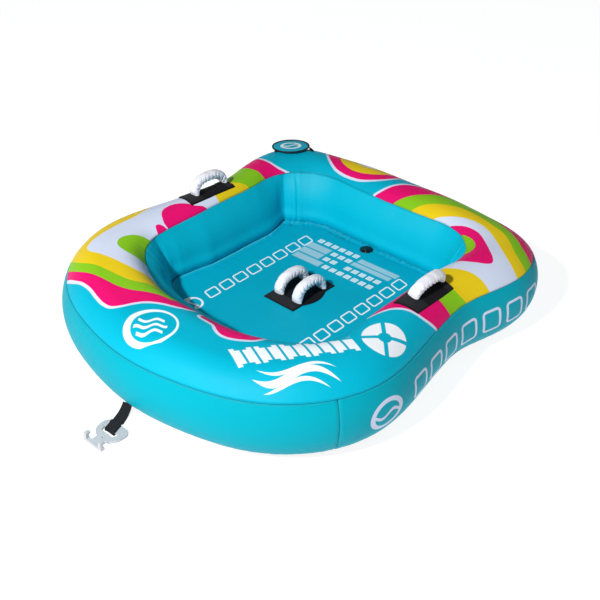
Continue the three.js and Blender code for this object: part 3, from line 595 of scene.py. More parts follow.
# Nested colour bands: each level is painted over the one before.
LEVELS = {
    "band1": [  # white edge, then pink
        [(-0.72, -0.87), (-0.64, -0.842), (-0.562, -0.836), (-0.498, -0.843), (-0.439, -0.845), (-0.373, -0.856), (-0.309, -0.875), (-0.254, -0.887), (-0.205, -0.885), (-0.173, -0.858), (-0.153, -0.819), (-0.125, -0.779), (-0.075, -0.743), (-0.016, -0.714), (0.03, -0.67), (0.0, -0.52), (-0.15, -0.3), (-0.3, 0.0), (-0.42, 0.3), (-0.47, 0.44), (-0.526, 0.423), (-0.569, 0.407), (-0.639, 0.403), (-0.705, 0.415), (-0.8, 0.45), (-0.95, 0.35), (-0.98, -0.1), (-0.98, -0.6), (-0.85, -0.86)],
        [(0.075, -0.69), (0.13, -0.7), (0.163, -0.702), (0.2, -0.722), (0.235, -0.733), (0.27, -0.729), (0.318, -0.703), (0.36, -0.655), (0.34, -0.56), (0.2, -0.54), (0.08, -0.58)],
        [(-0.58, 0.84), (-0.535, 0.75), (-0.484, 0.676), (-0.412, 0.612), (-0.351, 0.578), (-0.297, 0.567), (-0.246, 0.565), (-0.184, 0.573), (-0.129, 0.599), (-0.08, 0.643), (-0.047, 0.711), (-0.03, 0.79), (-0.03, 0.9), (-0.3, 0.95), (-0.58, 0.92)],
        [(-0.12, 0.43), (-0.09, 0.5), (-0.07, 0.54), (-0.05, 0.572), (-0.028, 0.614), (-0.003, 0.653), (0.03, 0.683), (0.067, 0.708), (0.13, 0.738), (0.24, 0.768), (0.36, 0.79), (0.5, 0.79), (0.63, 0.755), (0.74, 0.69), (0.81, 0.63), (0.9, 0.57), (0.96, 0.4), (0.9, 0.1), (0.84, -0.02), (0.79, -0.055), (0.743, -0.084), (0.705, -0.114), (0.675, -0.126), (0.645, -0.137), (0.614, -0.156), (0.588, -0.181), (0.567, -0.212), (0.53, -0.26), (0.42, -0.24), (0.3, 0.0), (0.2, 0.25), (0.0, 0.4)],
    ],
    "band2": [  # green on the long bands
        [(-0.76, -0.81), (-0.69, -0.79), (-0.622, -0.788), (-0.565, -0.797), (-0.521, -0.799), (-0.465, -0.792), (-0.41, -0.786), (-0.353, -0.783), (-0.298, -0.779), (-0.24, -0.763), (-0.184, -0.729), (-0.132, -0.7), (-0.077, -0.68), (-0.06, -0.55), (-0.2, -0.2), (-0.33, 0.1), (-0.47, 0.31), (-0.548, 0.303), (-0.607, 0.294), (-0.659, 0.292), (-0.73, 0.29), (-0.85, 0.2), (-0.92, -0.2), (-0.92, -0.6)],
        [(-0.02, 0.44), (0.03, 0.51), (0.048, 0.544), (0.065, 0.568), (0.093, 0.601), (0.134, 0.642), (0.175, 0.682), (0.23, 0.715), (0.31, 0.735), (0.4, 0.73), (0.48, 0.7), (0.541, 0.662), (0.61, 0.629), (0.66, 0.6), (0.7, 0.578), (0.76, 0.562), (0.84, 0.53), (0.9, 0.35), (0.86, 0.08), (0.77, 0.038), (0.727, 0.033), (0.7, 0.028), (0.671, 0.024), (0.62, 0.01), (0.575, -0.005), (0.54, -0.024), (0.45, -0.03), (0.35, 0.15), (0.2, 0.35)],
    ],
    "band3": [  # yellow
        [(-0.8, -0.75), (-0.74, -0.725), (-0.674, -0.733), (-0.61, -0.752), (-0.555, -0.756), (-0.471, -0.738), (-0.409, -0.731), (-0.353, -0.727), (-0.282, -0.712), (-0.237, -0.68), (-0.194, -0.655), (-0.13, -0.61), (-0.12, -0.5), (-0.2, -0.2), (-0.33, 0.1), (-0.46, 0.19), (-0.538, 0.187), (-0.56, 0.163), (-0.592, 0.136), (-0.64, 0.127), (-0.7, 0.12), (-0.8, 0.1), (-0.88, -0.2), (-0.88, -0.55)],
        [(-0.45, 0.8), (-0.41, 0.7), (-0.365, 0.645), (-0.299, 0.615), (-0.245, 0.611), (-0.19, 0.626), (-0.14, 0.659), (-0.113, 0.697), (-0.09, 0.78), (-0.1, 0.9), (-0.3, 0.93), (-0.44, 0.9)],
        [(0.08, 0.43), (0.13, 0.51), (0.15, 0.547), (0.17, 0.572), (0.208, 0.603), (0.265, 0.632), (0.328, 0.652), (0.407, 0.649), (0.46, 0.638), (0.507, 0.623), (0.55, 0.61), (0.593, 0.592), (0.64, 0.56), (0.671, 0.535), (0.7, 0.514), (0.733, 0.504), (0.774, 0.5), (0.84, 0.47), (0.87, 0.3), (0.8, 0.16), (0.721, 0.147), (0.7, 0.135), (0.667, 0.124), (0.62, 0.1), (0.589, 0.074), (0.57, 0.04), (0.53, 0.02), (0.45, 0.03), (0.35, 0.2), (0.2, 0.38)],
    ],
    "band4": [  # pale inner field
        [(-0.74, -0.12), (-0.71, -0.24), (-0.69, -0.31), (-0.675, -0.38), (-0.675, -0.466), (-0.672, -0.547), (-0.662, -0.62), (-0.636, -0.667), (-0.592, -0.685), (-0.525, -0.671), (-0.468, -0.661), (-0.392, -0.652), (-0.334, -0.635), (-0.28, -0.59), (-0.22, -0.45), (-0.25, -0.2), (-0.38, 0.0), (-0.49, 0.0), (-0.56, 0.0), (-0.6, 0.012), (-0.66, 0.03), (-0.73, 0.02), (-0.8, -0.02)],
        [(-0.36, 0.86), (-0.345, 0.76), (-0.31, 0.7), (-0.26, 0.683), (-0.21, 0.695), (-0.18, 0.74), (-0.17, 0.84), (-0.26, 0.9)],
        [(0.2, 0.43), (0.25, 0.51), (0.27, 0.546), (0.3, 0.563), (0.352, 0.584), (0.411, 0.595), (0.472, 0.591), (0.54, 0.563), (0.618, 0.506), (0.655, 0.478), (0.691, 0.457), (0.747, 0.438), (0.8, 0.43), (0.84, 0.36), (0.81, 0.29), (0.739, 0.276), (0.711, 0.272), (0.676, 0.263), (0.634, 0.243), (0.597, 0.218), (0.568, 0.193), (0.545, 0.16), (0.45, 0.15), (0.35, 0.25)],
    ],
    "band5": [  # pink eyes
        [(-0.588, -0.295), (-0.613, -0.276), (-0.634, -0.239), (-0.631, -0.185), (-0.601, -0.146), (-0.569, -0.125), (-0.545, -0.085), (-0.5, -0.07), (-0.47, -0.18), (-0.5, -0.29), (-0.55, -0.31)],
        [(-0.566, -0.352), (-0.566, -0.335), (-0.545, -0.318), (-0.5, -0.325), (-0.51, -0.37), (-0.54, -0.365)],
        [(0.26, 0.45), (0.32, 0.52), (0.352, 0.535), (0.385, 0.545), (0.426, 0.551), (0.471, 0.546), (0.516, 0.528), (0.567, 0.489), (0.627, 0.434), (0.665, 0.401), (0.681, 0.376), (0.672, 0.352), (0.645, 0.327), (0.609, 0.3), (0.581, 0.285), (0.53, 0.26), (0.45, 0.28), (0.35, 0.36)],
    ],
    "band6": [  # green cores
        [(-0.55, -0.574), (-0.577, -0.54), (-0.573, -0.495), (-0.55, -0.449), (-0.525, -0.42), (-0.47, -0.4), (-0.43, -0.45), (-0.42, -0.54), (-0.456, -0.575), (-0.508, -0.585)],
        [(0.37, 0.47), (0.435, 0.506), (0.471, 0.501), (0.511, 0.484), (0.543, 0.454), (0.558, 0.42), (0.555, 0.391), (0.541, 0.375), (0.48, 0.36), (0.42, 0.4)],
    ],
}
LOOPS = {k: [smooth_loop(l) for l in v] for k, v in LEVELS.items()}


def art_attributes(P):
    pts = P.reshape(-1, 3)[:, :2]
    return {k: np.clip(np.min([signed(pts, l) for l in v], 0), -0.2, 0.2) for k, v in LOOPS.items()}


# TURQ_TOP_PAINTED_SHADE is TURQ darkened for the top cover: painted shade that makes the upward-facing deck darker than
# the wall of the same fabric
TURQ, TURQ_TOP_PAINTED_SHADE, TURQ_SIDE, FLOORC = lin(0, 184, 212), lin(0, 174, 203), lin(0, 164, 184), lin(0, 168, 198)
PALE, PINK, LIME, YELLOW = lin(212, 222, 244), lin(232, 16, 112), lin(136, 200, 34), lin(234, 204, 30)
INK = lin(238, 246, 252)


def cloth_bump(vec, extra=None, weave=0.00022, fold=0.0012):
    """Fine plain weave and slow unevenness of coated nylon."""
    x, y, z, v = vec
    w = xsin(x * 3900.0) * xsin(y * 3900.0) + xsin(z * 3900.0) * 0.6
    b = bump(w, weave, 0.35)
    n = noise(v, 9.0, 3.0, 0.55)
    b = bump(n, fold * 4, 0.25, below=b)
    if extra is not None:
        b = bump(extra, 0.0014, 0.9, below=b)
    return b


def stitch_line(d, l, at=0.0048, half=0.0005, pitch=0.0042):
    """Mask of a run of stitches this far from a seam."""
    return inside(xabs(d - at) - half, 0.0003) * inside(xabs(xfract(l / pitch) - 0.5) - 0.36, 0.05)


# ------------------------------------------------------------------ fine cover meshes
N = 360 if QUICK else 720
PHI = np.arange(N) / N * 2 * np.pi
ST = stations(PHI)
ARC = np.concatenate([[0], np.cumsum(np.linalg.norm(np.diff(np.vstack([ST["P"], ST["P"][:1]]), axis=0), axis=1))])
TOTAL = ARC[-1]
ARC = ARC[:-1]


def arc_at(deg):
    return float(np.interp(deg % 360, np.append(PHI / D, 360), np.append(ARC, TOTAL)))


SEAMS = [49, 139, 221, 311]  # upright seams of the side band


def seam_profile(d, deep=0.0022, wide=0.0036):
    """Groove at a seam with the fabric rolling up beside it."""
    return -deep * np.exp(-((d / wide) ** 2)) + 0.0007 * np.exp(-(((d - 0.009) / 0.006) ** 2))


def puckers(arc, d, amp, reach, seed, step=0.016):
    w = wobble(arc, step, seed) + 0.6 * wobble(arc, step * 0.45, seed + 1)
    return amp * w * np.exp(-d / reach)


def window(a, centre, half):
    """1 at this plan angle, fading to 0 half degrees away (both sides, degrees)."""
    x = np.abs((a / D - centre + 180) % 360 - 180) / half
    return np.where(x < 1, 0.5 + 0.5 * np.cos(np.pi * np.minimum(x, 1)), 0)


def fracs(m, ends=(0.004, 0.010, 0.018, 0.030, 0.048)):
    mid = np.linspace(0.075, 0.925, m)
    return [0.0, *ends, *mid, *[1 - e for e in reversed(ends)], 1.0]


SA = across(surface(stations(np.array([0.0])), [("s", t) for t in np.linspace(-math.pi / 2, math.pi / 2, 400)]))[0]
ST_T = np.linspace(-math.pi / 2, math.pi / 2, 400)


def s_rows(t0, t1, fr):
    a0, a1 = np.interp([t0, t1], ST_T, SA)
    return [("s", float(np.interp(a0 + (a1 - a0) * f, SA, ST_T))) for f in fr]


a_col = ST["a"][:, None]
arc_col = ARC[:, None]

# top cover
half_top = s_rows(SEAM_TOP, math.pi / 2 - 0.02, [0.0, 0.008, 0.018, 0.03, 0.05, 0.08, *np.linspace(0.12, 1, 12 if QUICK else 22)])
top_rows = half_top + [("u", f) for f in [*np.linspace(0.0, 0.86, 14 if QUICK else 26)[0:], 0.9, 0.93, 0.955, 0.972, 0.984, 0.993, 1.0]]
TOP = surface(ST, top_rows)
ac = across(TOP)
d0, d1 = ac, ac[:, -1:] - ac
nrm = grid_normals(TOP)
waist = window(a_col, 90, 34) + window(a_col, 270, 34)
corner = sum(window(a_col, c, 14) for c in (46, 132, 228, 314))
disp = seam_profile(d0) + seam_profile(d1, 0.0018)
disp = disp + puckers(arc_col, d0, 0.00045, 0.03, 3) * (0.6 + 1.3 * waist)
disp = disp + puckers(arc_col, d1, 0.0005, 0.035, 5, 0.02) * (0.5 + 2.2 * corner)
TOP = TOP + nrm * disp[..., None]
nj = TOP.shape[1]
seam_d = np.minimum(d0, d1)
arts = art_attributes(TOP)
faces = grid_faces(N, nj, True)
# the opening over the valve
VALVE = np.array([-0.634, 0.577])
flat = TOP.reshape(-1, 3)
r = np.linalg.norm(flat[:, :2] - VALVE, axis=1)
keep = ~(r[faces] < 0.042).all(1)
faces = faces[keep]
near = (r < 0.042) & np.isin(np.arange(len(flat)), faces)
dirs = (flat[near][:, :2] - VALVE) / np.maximum(r[near], 1e-6)[:, None]
flat[near, :2] = VALVE + dirs * 0.0425
used = np.unique(faces)
remap = -np.ones(len(flat), int)
remap[used] = np.arange(len(used))
TOPV, TOPF = flat[used], remap[faces]


def build_top(b):
    vec = coords()
    x, y, z, v = vec
    # ground colour of the top cover: the darkened copy of TURQ, painted shade on the deck
    c = TURQ_TOP_PAINTED_SHADE
    b1 = attr("band1")
    c = mix(inside(b1 - 0.0062), c, PALE)
    c = mix(inside(b1 + 0.0062), c, PINK)
    for name, colour in (("band2", LIME), ("band3", YELLOW), ("band4", PALE), ("band5", PINK), ("band6", LIME)):
        c = mix(inside(attr(name)), c, colour)
    # round badge on the front left: a ring with three short waves
    rx, ry, rz = x - 0.006, y + 0.868, z - 0.38
    away = xsqrt(rx * rx + ry * ry + rz * rz)
    e1 = rx * 0.743 + ry * 0.669
    e2 = (ry - rz * 0.45) * 0.743 - rx * 0.669
    inner_x, inner_y = rx - 0.006, ry - 0.009
    shapes = xmax(away - 0.106, 0.087 - xsqrt(inner_x * inner_x + inner_y * inner_y + rz * rz))
    for k in (-0.034, 0.0, 0.034):
        wv = xabs(e2 - k - xsin(e1 * 82.0) * 0.009) - 0.0075
        wv = xmax(wv, xabs(e1) - (0.064 if k == 0.0 else 0.05))
        shapes = xmin(shapes, wv)
    # a row of slanted blocks on the front right
    ux, uy = x - 0.372, y + 0.802
    p, q = ux * 0.583 + uy * 0.812, ux * 0.812 - uy * 0.583
    p2 = p - q * 0.22
    wide = 0.0456
    cell = (xfract(p2 / wide) - 0.5) * wide
    tall = 0.0515 - p * 0.012
    half = xabs(xfract(p2 / (wide * 2.0)) - 0.5)
    blocks = xmax(xabs(cell) - 0.0178, xabs(q + 0.002) - tall + inside(half - 0.25, 0.004) * 0.012)
    blocks = xmax(blocks, xabs(p2 - 5.0 * wide) - 5.0 * wide)
    shapes = xmin(shapes, blocks)
    # a life ring badge at its end
    bx, by, bz = x - 0.688, y + 0.332, z - 0.376
    rr = xsqrt(bx * bx + by * by + bz * bz)
    shapes = xmin(shapes, xabs(rr - 0.056) - 0.03)
    spokes = xmin(xabs(bx * 0.707 + by * 0.707), xabs(bx * 0.707 - by * 0.707)) - 0.008
    shapes = xmax(shapes, -xmax(spokes, 0.02 - rr))
    # swash of waves below it
    wx, wy = x - 0.592, y + 0.702
    s, t = wx * 0.707 + wy * 0.707, wy * 0.707 - wx * 0.707
    for off, ph, width, a, bnd in ((0.026, 0.0, 0.009, 0.024, 0.14), (-0.004, 0.35, 0.0165, 0.028, 0.155), (-0.036, 0.8, 0.008, 0.02, 0.115)):
        taper = (1.0 - (s / bnd) * (s / bnd)) * width
        wv = xabs(t - off - xsin(s * 21.0 + ph) * a) - taper
        wv = xmax(wv, xabs(s) - bnd)
        shapes = xmin(shapes, wv)
    c = mix(inside(shapes, 0.0014), c, INK)
    sd, sl = attr("seam_d"), attr("seam_l")
    st = stitch_line(sd, sl)
    c = mix(st * 0.35, c, lin(0, 60, 80))
    tint = noise(v, 3.0, 2.0)
    hsv = X.tree.nodes.new("ShaderNodeHueSaturation")
    X.tree.links.new(c, hsv.inputs["Color"])
    X.tree.links.new(ramp(tint, 0.3, 0.7, 0.965, 1.02).v, hsv.inputs["Value"])
    c = hsv.outputs[0]
    c = mix(inside(sd - 0.0011, 0.0008) * 0.75, c, lin(0, 70, 90))
    link(c, b, "Base Color")
    link(ramp(noise(v, 40.0, 2.0), 0.3, 0.7, 0.40, 0.50), b, "Roughness")
    link(cloth_bump(vec, st), b, "Normal")


m_top = material("printed_nylon_look", build_top, 0.45, specular=0.10)
top_attrs = {k: v[used] for k, v in arts.items()}
top_attrs["seam_d"] = seam_d.reshape(-1)[used]
top_attrs["seam_l"] = np.broadcast_to(arc_col, seam_d.shape).reshape(-1)[used]
top = piece("top_cover", TOPV, TOPF, m_top, top_attrs, slot="printed_nylon", replaces=("cover_top",))
TOP_TREE = BVHTree.FromPolygons([tuple(p) for p in TOPV], [tuple(map(int, f)) for f in TOPF])
FULL_TREE = BVHTree.FromPolygons([tuple(p) for p in TOP.reshape(-1, 3)], [tuple(map(int, f)) for f in grid_faces(N, nj, True)])


def top_at(x, y):
    h = FULL_TREE.ray_cast(Vector((x, y, 1.0)), Vector((0, 0, -1)))
    return h[0].z if h[0] is not None else 0.35


# ------------------------------------------------------------------ side band: four panels
side_fr = fracs(16 if QUICK else 34, (0.006, 0.014, 0.024, 0.038, 0.056))
side_rows = s_rows(-SEAM_LOW, SEAM_TOP, side_fr)
SIDE = surface(ST, side_rows)
ac = across(SIDE)
d0, d1 = ac, ac[:, -1:] - ac
nrm = grid_normals(SIDE)
dv = np.min([np.abs((arc_col - arc_at(s) + TOTAL / 2) % TOTAL - TOTAL / 2) for s in SEAMS], 0)
disp = seam_profile(d1) + seam_profile(d0) + seam_profile(dv, 0.003, 0.0045)
zz = ac / ac[:, -1:]
disp = disp + puckers(arc_col, d1, 0.0005, 0.03, 3) * (0.6 + 1.3 * waist)
disp = disp + puckers(arc_col, d0, 0.0008, 0.03, 9, 0.022)
disp = disp + 0.0012 * (wobble(ac, 0.022, 21) + 0.6 * wobble(ac, 0.011, 22)) * np.exp(-dv / 0.035)
SIDE = SIDE + nrm * disp[..., None]
nj = SIDE.shape[1]
mid = np.interp(0.0, ST_T, SA) - np.interp(-SEAM_LOW, ST_T, SA)
pv = ac - mid
seam_d = np.minimum(np.minimum(d0, d1), np.broadcast_to(dv, d0.shape))
seam_l = np.where(np.minimum(d0, d1) < dv, arc_col, ac)
LET0, LET1, RINGC = arc_at(69), arc_at(127.5), arc_at(60.5)


def build_side(b):
    vec = coords()
    v = vec[3]
    u, w = attr("panel_u"), attr("panel_v")
    c = TURQ_SIDE
    shapes = None
    for sign, base in ((1, 0.0), (-1, TOTAL)):
        uu = (u - base) * float(sign)
        # outlined slanted blocks in a row
        p = uu - LET0 - (w + 0.012) * -0.18
        n = 7
        pitch = (LET1 - LET0) / n
        cell = (xfract(p / pitch) - 0.5) * pitch
        box = rounded_box(cell, w + 0.012, pitch * 0.5 - 0.016, 0.058, 0.022)
        outl = xabs(box + 0.006) - 0.0062
        outl = xmax(outl, xabs(p - (LET1 - LET0) / 2) - (LET1 - LET0) / 2)
        # a ring with a wave across it in front of them
        q = uu - RINGC
        rr = xlen(q / 1.15, w + 0.016)
        ring = xabs(rr - 0.062) - 0.009
        wave = xmax(xabs(w + 0.016 - xsin(q * 60.0) * 0.012) - 0.0075, rr - 0.055)
        both = xmin(outl, xmin(ring, wave))
        shapes = both if shapes is None else xmin(shapes, both)
    c = mix(inside(shapes, 0.0014), c, PALE)
    sd, sl = attr("seam_d"), attr("seam_l")
    st = stitch_line(sd, sl)
    c = mix(st * 0.5, c, lin(120, 210, 225))
    hsv = X.tree.nodes.new("ShaderNodeHueSaturation")
    X.tree.links.new(c, hsv.inputs["Color"])
    X.tree.links.new(ramp(noise(v, 3.0, 2.0), 0.3, 0.7, 0.965, 1.02).v, hsv.inputs["Value"])
    c = mix(inside(sd - 0.0011, 0.0008) * 0.75, hsv.outputs[0], lin(0, 70, 90))
    link(c, b, "Base Color")
    link(ramp(noise(v, 40.0, 2.0), 0.3, 0.7, 0.41, 0.51), b, "Roughness")
    link(cloth_bump(vec, st), b, "Normal")


m_side = material("turquoise_nylon_look", build_side, 0.48, specular=0.05)
order = [("front", 311, 49), ("right", 49, 139), ("back", 139, 221), ("left", 221, 311)]
for name, s0, s1 in order:
    i0, i1 = round(s0 / 360 * N), round(s1 / 360 * N)
    if i1 <= i0:
        i1 += N
    idx = np.arange(i0, i1 + 1) % N
    P = SIDE[idx]
    u = np.broadcast_to(ARC[idx][:, None], P.shape[:2]).copy()
    if name == "front":
        u = np.where(np.arange(i0, i1 + 1)[:, None] < N, u, u + TOTAL)
    piece(f"side_cover_{name}", P.reshape(-1, 3), grid_faces(len(idx), nj, False), m_side,
          {"panel_u": u, "panel_v": pv[idx], "seam_d": seam_d[idx], "seam_l": seam_l[idx]},
          slot="turquoise_nylon", replaces=(f"cover_side_{name}",))

# ------------------------------------------------------------------ bottom
bot_rows = s_rows(-math.pi / 2, -SEAM_LOW, [0, 0.1, 0.25, 0.4, 0.55, 0.7, 0.82, 0.9, 0.95, 0.98, 1.0])
BOT = surface(ST, bot_rows)
ac = across(BOT)
d1 = ac[:, -1:] - ac
nrm = grid_normals(BOT)
disp = seam_profile(d1) + puckers(arc_col, d1, 0.0008, 0.03, 9, 0.022)
disp[:, :2] = 0
BOT = BOT + nrm * disp[..., None]
BOT[..., 2] = np.maximum(BOT[..., 2], 0.0)
inner = []
for f in (0.97, 0.9, 0.75, 0.55, 0.35, 0.15):
    ringp = np.zeros((N, 3))
    ringp[:, :2] = BOT[:, 0, :2] * f
    inner.append(ringp)
BG = np.concatenate([np.stack(inner[::-1], 1), BOT], 1)
bv = BG.reshape(-1, 3)
bf = grid_faces(N, BG.shape[1], True).tolist()
centre = len(bv)
bv = np.vstack([bv, [[0, 0, 0]]])
bf += [[centre, ((i + 1) % N) * BG.shape[1], i * BG.shape[1]] for i in range(N)]


def build_bottom(b):
    vec = coords()
    x, y, z, v = vec
    sd = attr("seam_d")
    n = noise(v, 14.0, 4.0)
    c = mix(n, lin(20, 40, 52), lin(34, 58, 72))
    scuff = ramp(noise(v, 5.0, 6.0, 0.7), 0.6, 0.85)
    c = mix(scuff * 0.35, c, lin(92, 108, 116))
    link(c, b, "Base Color")
    link(ramp(n, 0.3, 0.7, 0.55, 0.75), b, "Roughness")
    link(cloth_bump(vec, stitch_line(sd, attr("seam_l")), weave=0.0004), b, "Normal")


m_bottom = material("bottom_nylon_look", build_bottom, 0.65, specular=0.3)
sdb = np.full((N, BG.shape[1]), 1.0)
sdb[:, 6:] = d1
piece("bottom_cover", bv, bf, m_bottom, {"seam_d": np.append(sdb.ravel(), 1.0), "seam_l": np.append(np.broadcast_to(arc_col, sdb.shape).ravel(), 0)}, slot="bottom_nylon", replaces=("cover_bottom",))

# ------------------------------------------------------------------ cockpit wall
wall_fr = [0.0, 0.006, 0.014, 0.026, 0.044, *np.linspace(0.07, 0.9, 16 if QUICK else 34), 0.925, 0.945, 0.96, 0.972, 0.982, 0.99, 1.0]
WALL = surface(ST, [("v", f) for f in wall_fr])
ac = across(WALL)
d0, d1 = ac, ac[:, -1:] - ac
nrm = grid_normals(WALL)
vv = np.array(wall_fr)[None, :]
foot_arc = np.concatenate([[0], np.cumsum(np.linalg.norm(np.diff(ST["F"], axis=0), axis=1))])[:, None]
disp = seam_profile(d0, 0.0018)
disp = disp + 0.009 * np.exp(-(((d1 - 0.032) / 0.026) ** 2)) - 0.002 * np.exp(-((d1 / 0.007) ** 2))
# upright creases where two lengths of wall meet
for c, w, deep in ((54, 3.4, 0.020), (306, 3.4, 0.020), (128.0, 3.0, 0.022), (232.0, 3.0, 0.022)):
    x = (a_col / D - c + 180) % 360 - 180
    disp = disp - deep * np.exp(-np.abs(x) / w) * np.sin(np.pi * (0.06 + 0.9 * vv) ** 0.9) ** 0.8
for c, w, deep in ((133.2, 0.5, 0.006), (226.8, 0.5, 0.006), (130.6, 0.35, 0.003), (229.4, 0.35, 0.003)):
    x = (a_col / D - c + 180) % 360 - 180
    disp = disp - deep * np.exp(-((x / w) ** 2)) * np.clip(vv * 1.8 - (0.1 if w > 0.4 else 0.7), 0, 1) ** 0.6 + 0.35 * deep * np.exp(-(((x - 1.2 * np.sign(180 - c)) / 0.7) ** 2)) * vv
# gathers beside them and along the foot
fold = sum(window(a_col, c, 11) for c in (136, 224))
gathers = np.abs(wobble(foot_arc, 0.017, 31)) * 2 - 0.8 + 0.5 * wobble(foot_arc, 0.008, 33)
disp = disp + 0.0016 * gathers * fold * vv ** 1.5
foldf = sum(window(a_col, c, 13) for c in (50, 310))
disp = disp + 0.0022 * gathers * foldf * vv
disp = disp + puckers(foot_arc, d1, 0.0011, 0.035, 41, 0.017)
disp = disp + puckers(arc_col, d0, 0.0006, 0.03, 5, 0.02) * (0.5 + 1.5 * corner)
WALL = WALL + nrm * disp[..., None]
WALL[:, 0] = TOP[:, -1]
WALL[:, -1, 2] = FLOOR - 0.001
nj = WALL.shape[1]


def corner_ring(x, y, z):
    """A ring with one wave at the cockpit's front left corner, over wall and floor."""
    dx, dy, dz = x - RING_AT[0], y - RING_AT[1], z - RING_AT[2]
    rr = xsqrt(dx * dx + dy * dy + dz * dz)
    ring = xabs(rr - 0.044) - 0.0048
    along, up = dx * 0.75 - dy * 0.66, dx * 0.3 + dy * 0.34 + dz * 0.9
    wave = xmax(xabs(up - xsin(along * 80.0) * 0.009) - 0.004, rr - 0.04)
    return xmin(ring, wave)


RING_AT = (-0.292, -0.408, 0.113)


def build_wall(b):
    vec = coords()
    x, y, z, v = vec
    sd, sl = attr("seam_d"), attr("seam_l")
    st = stitch_line(sd, sl)
    c = mix(inside(corner_ring(x, y, z), 0.0012), TURQ, INK)
    c = mix(st * 0.3, c, lin(0, 60, 80))
    hsv = X.tree.nodes.new("ShaderNodeHueSaturation")
    X.tree.links.new(c, hsv.inputs["Color"])
    X.tree.links.new(ramp(noise(v, 3.0, 2.0), 0.3, 0.7, 0.965, 1.02).v, hsv.inputs["Value"])
    c = mix(inside(sd - 0.0011, 0.0008) * 0.75, hsv.outputs[0], lin(0, 70, 90))
    link(c, b, "Base Color")
    link(ramp(noise(v, 40.0, 2.0), 0.3, 0.7, 0.38, 0.48), b, "Roughness")
    link(cloth_bump(vec, st), b, "Normal")


m_wall = material("cockpit_nylon_look", build_wall, 0.46, specular=0.16)
piece("cockpit_wall", WALL.reshape(-1, 3), grid_faces(N, nj, True), m_wall, {"seam_d": d0, "seam_l": np.broadcast_to(arc_col, d0.shape)}, slot="turquoise_nylon", replaces=("cover_cockpit_wall",))

# ------------------------------------------------------------------ floor
FR = [1.012, 1.004, 0.998, 0.992, 0.985, 0.975, 0.963, 0.95, 0.935, 0.918, *np.linspace(0.9, 0.05, 26 if QUICK else 52)]
FP = np.zeros((N, len(FR), 3))
Floc = ST["F"]
fr_r = np.linalg.norm(Floc, axis=1)
for j, f in enumerate(FR):
    FP[:, j, :2] = Floc * f
dd = across(FP)
dd = np.abs(dd - dd[:, 2:3])
FP[..., 2] = FLOOR
hump = -0.0022 * np.exp(-((dd / 0.005) ** 2)) + 0.0034 * np.exp(-(((dd - 0.013) / 0.008) ** 2)) - 0.0018 * np.exp(-(((dd - 0.033) / 0.006) ** 2))
rear = np.clip((FP[..., 1] - 0.1) / 0.25, 0, 1) + 0.35
wr = puckers(foot_arc, np.abs(dd - 0.014), 0.0026, 0.022, 51, 0.014) * rear
fold_back = np.clip(FP[..., 1] / 0.3, 0, 1) * 0.0022 * np.exp(-(((dd - 0.03 - 0.006 * wobble(foot_arc, 0.05, 55)) / 0.004) ** 2)) * np.clip(wobble(foot_arc, 0.035, 57) + 0.35, 0, 1)
wr = wr - fold_back
slow = 0.0009 * wobble(FP[..., 0] + 0.3 * FP[..., 1], 0.11, 61) * wobble(FP[..., 1] - 0.2 * FP[..., 0], 0.13, 62)
calm = np.clip((np.maximum(np.abs(FP[..., 0] + 0.02) - 0.13, np.abs(FP[..., 1] + 0.026) - 0.16)) / 0.05, 0, 1)
valve_calm = np.clip((np.hypot(FP[..., 0] + 0.027, FP[..., 1] - 0.44) - 0.034) / 0.02, 0, 1)
FP[..., 2] += (hump + wr) * valve_calm + slow * calm * valve_calm
fv = FP.reshape(-1, 3)
ff = grid_faces(N, len(FR), True).tolist()
fc = len(fv)
fv = np.vstack([fv, [[0, 0, FLOOR]]])
L = len(FR)
ff += [[fc, i * L + L - 1, ((i + 1) % N) * L + L - 1] for i in range(N)]
ff = [f[::1] for f in ff]


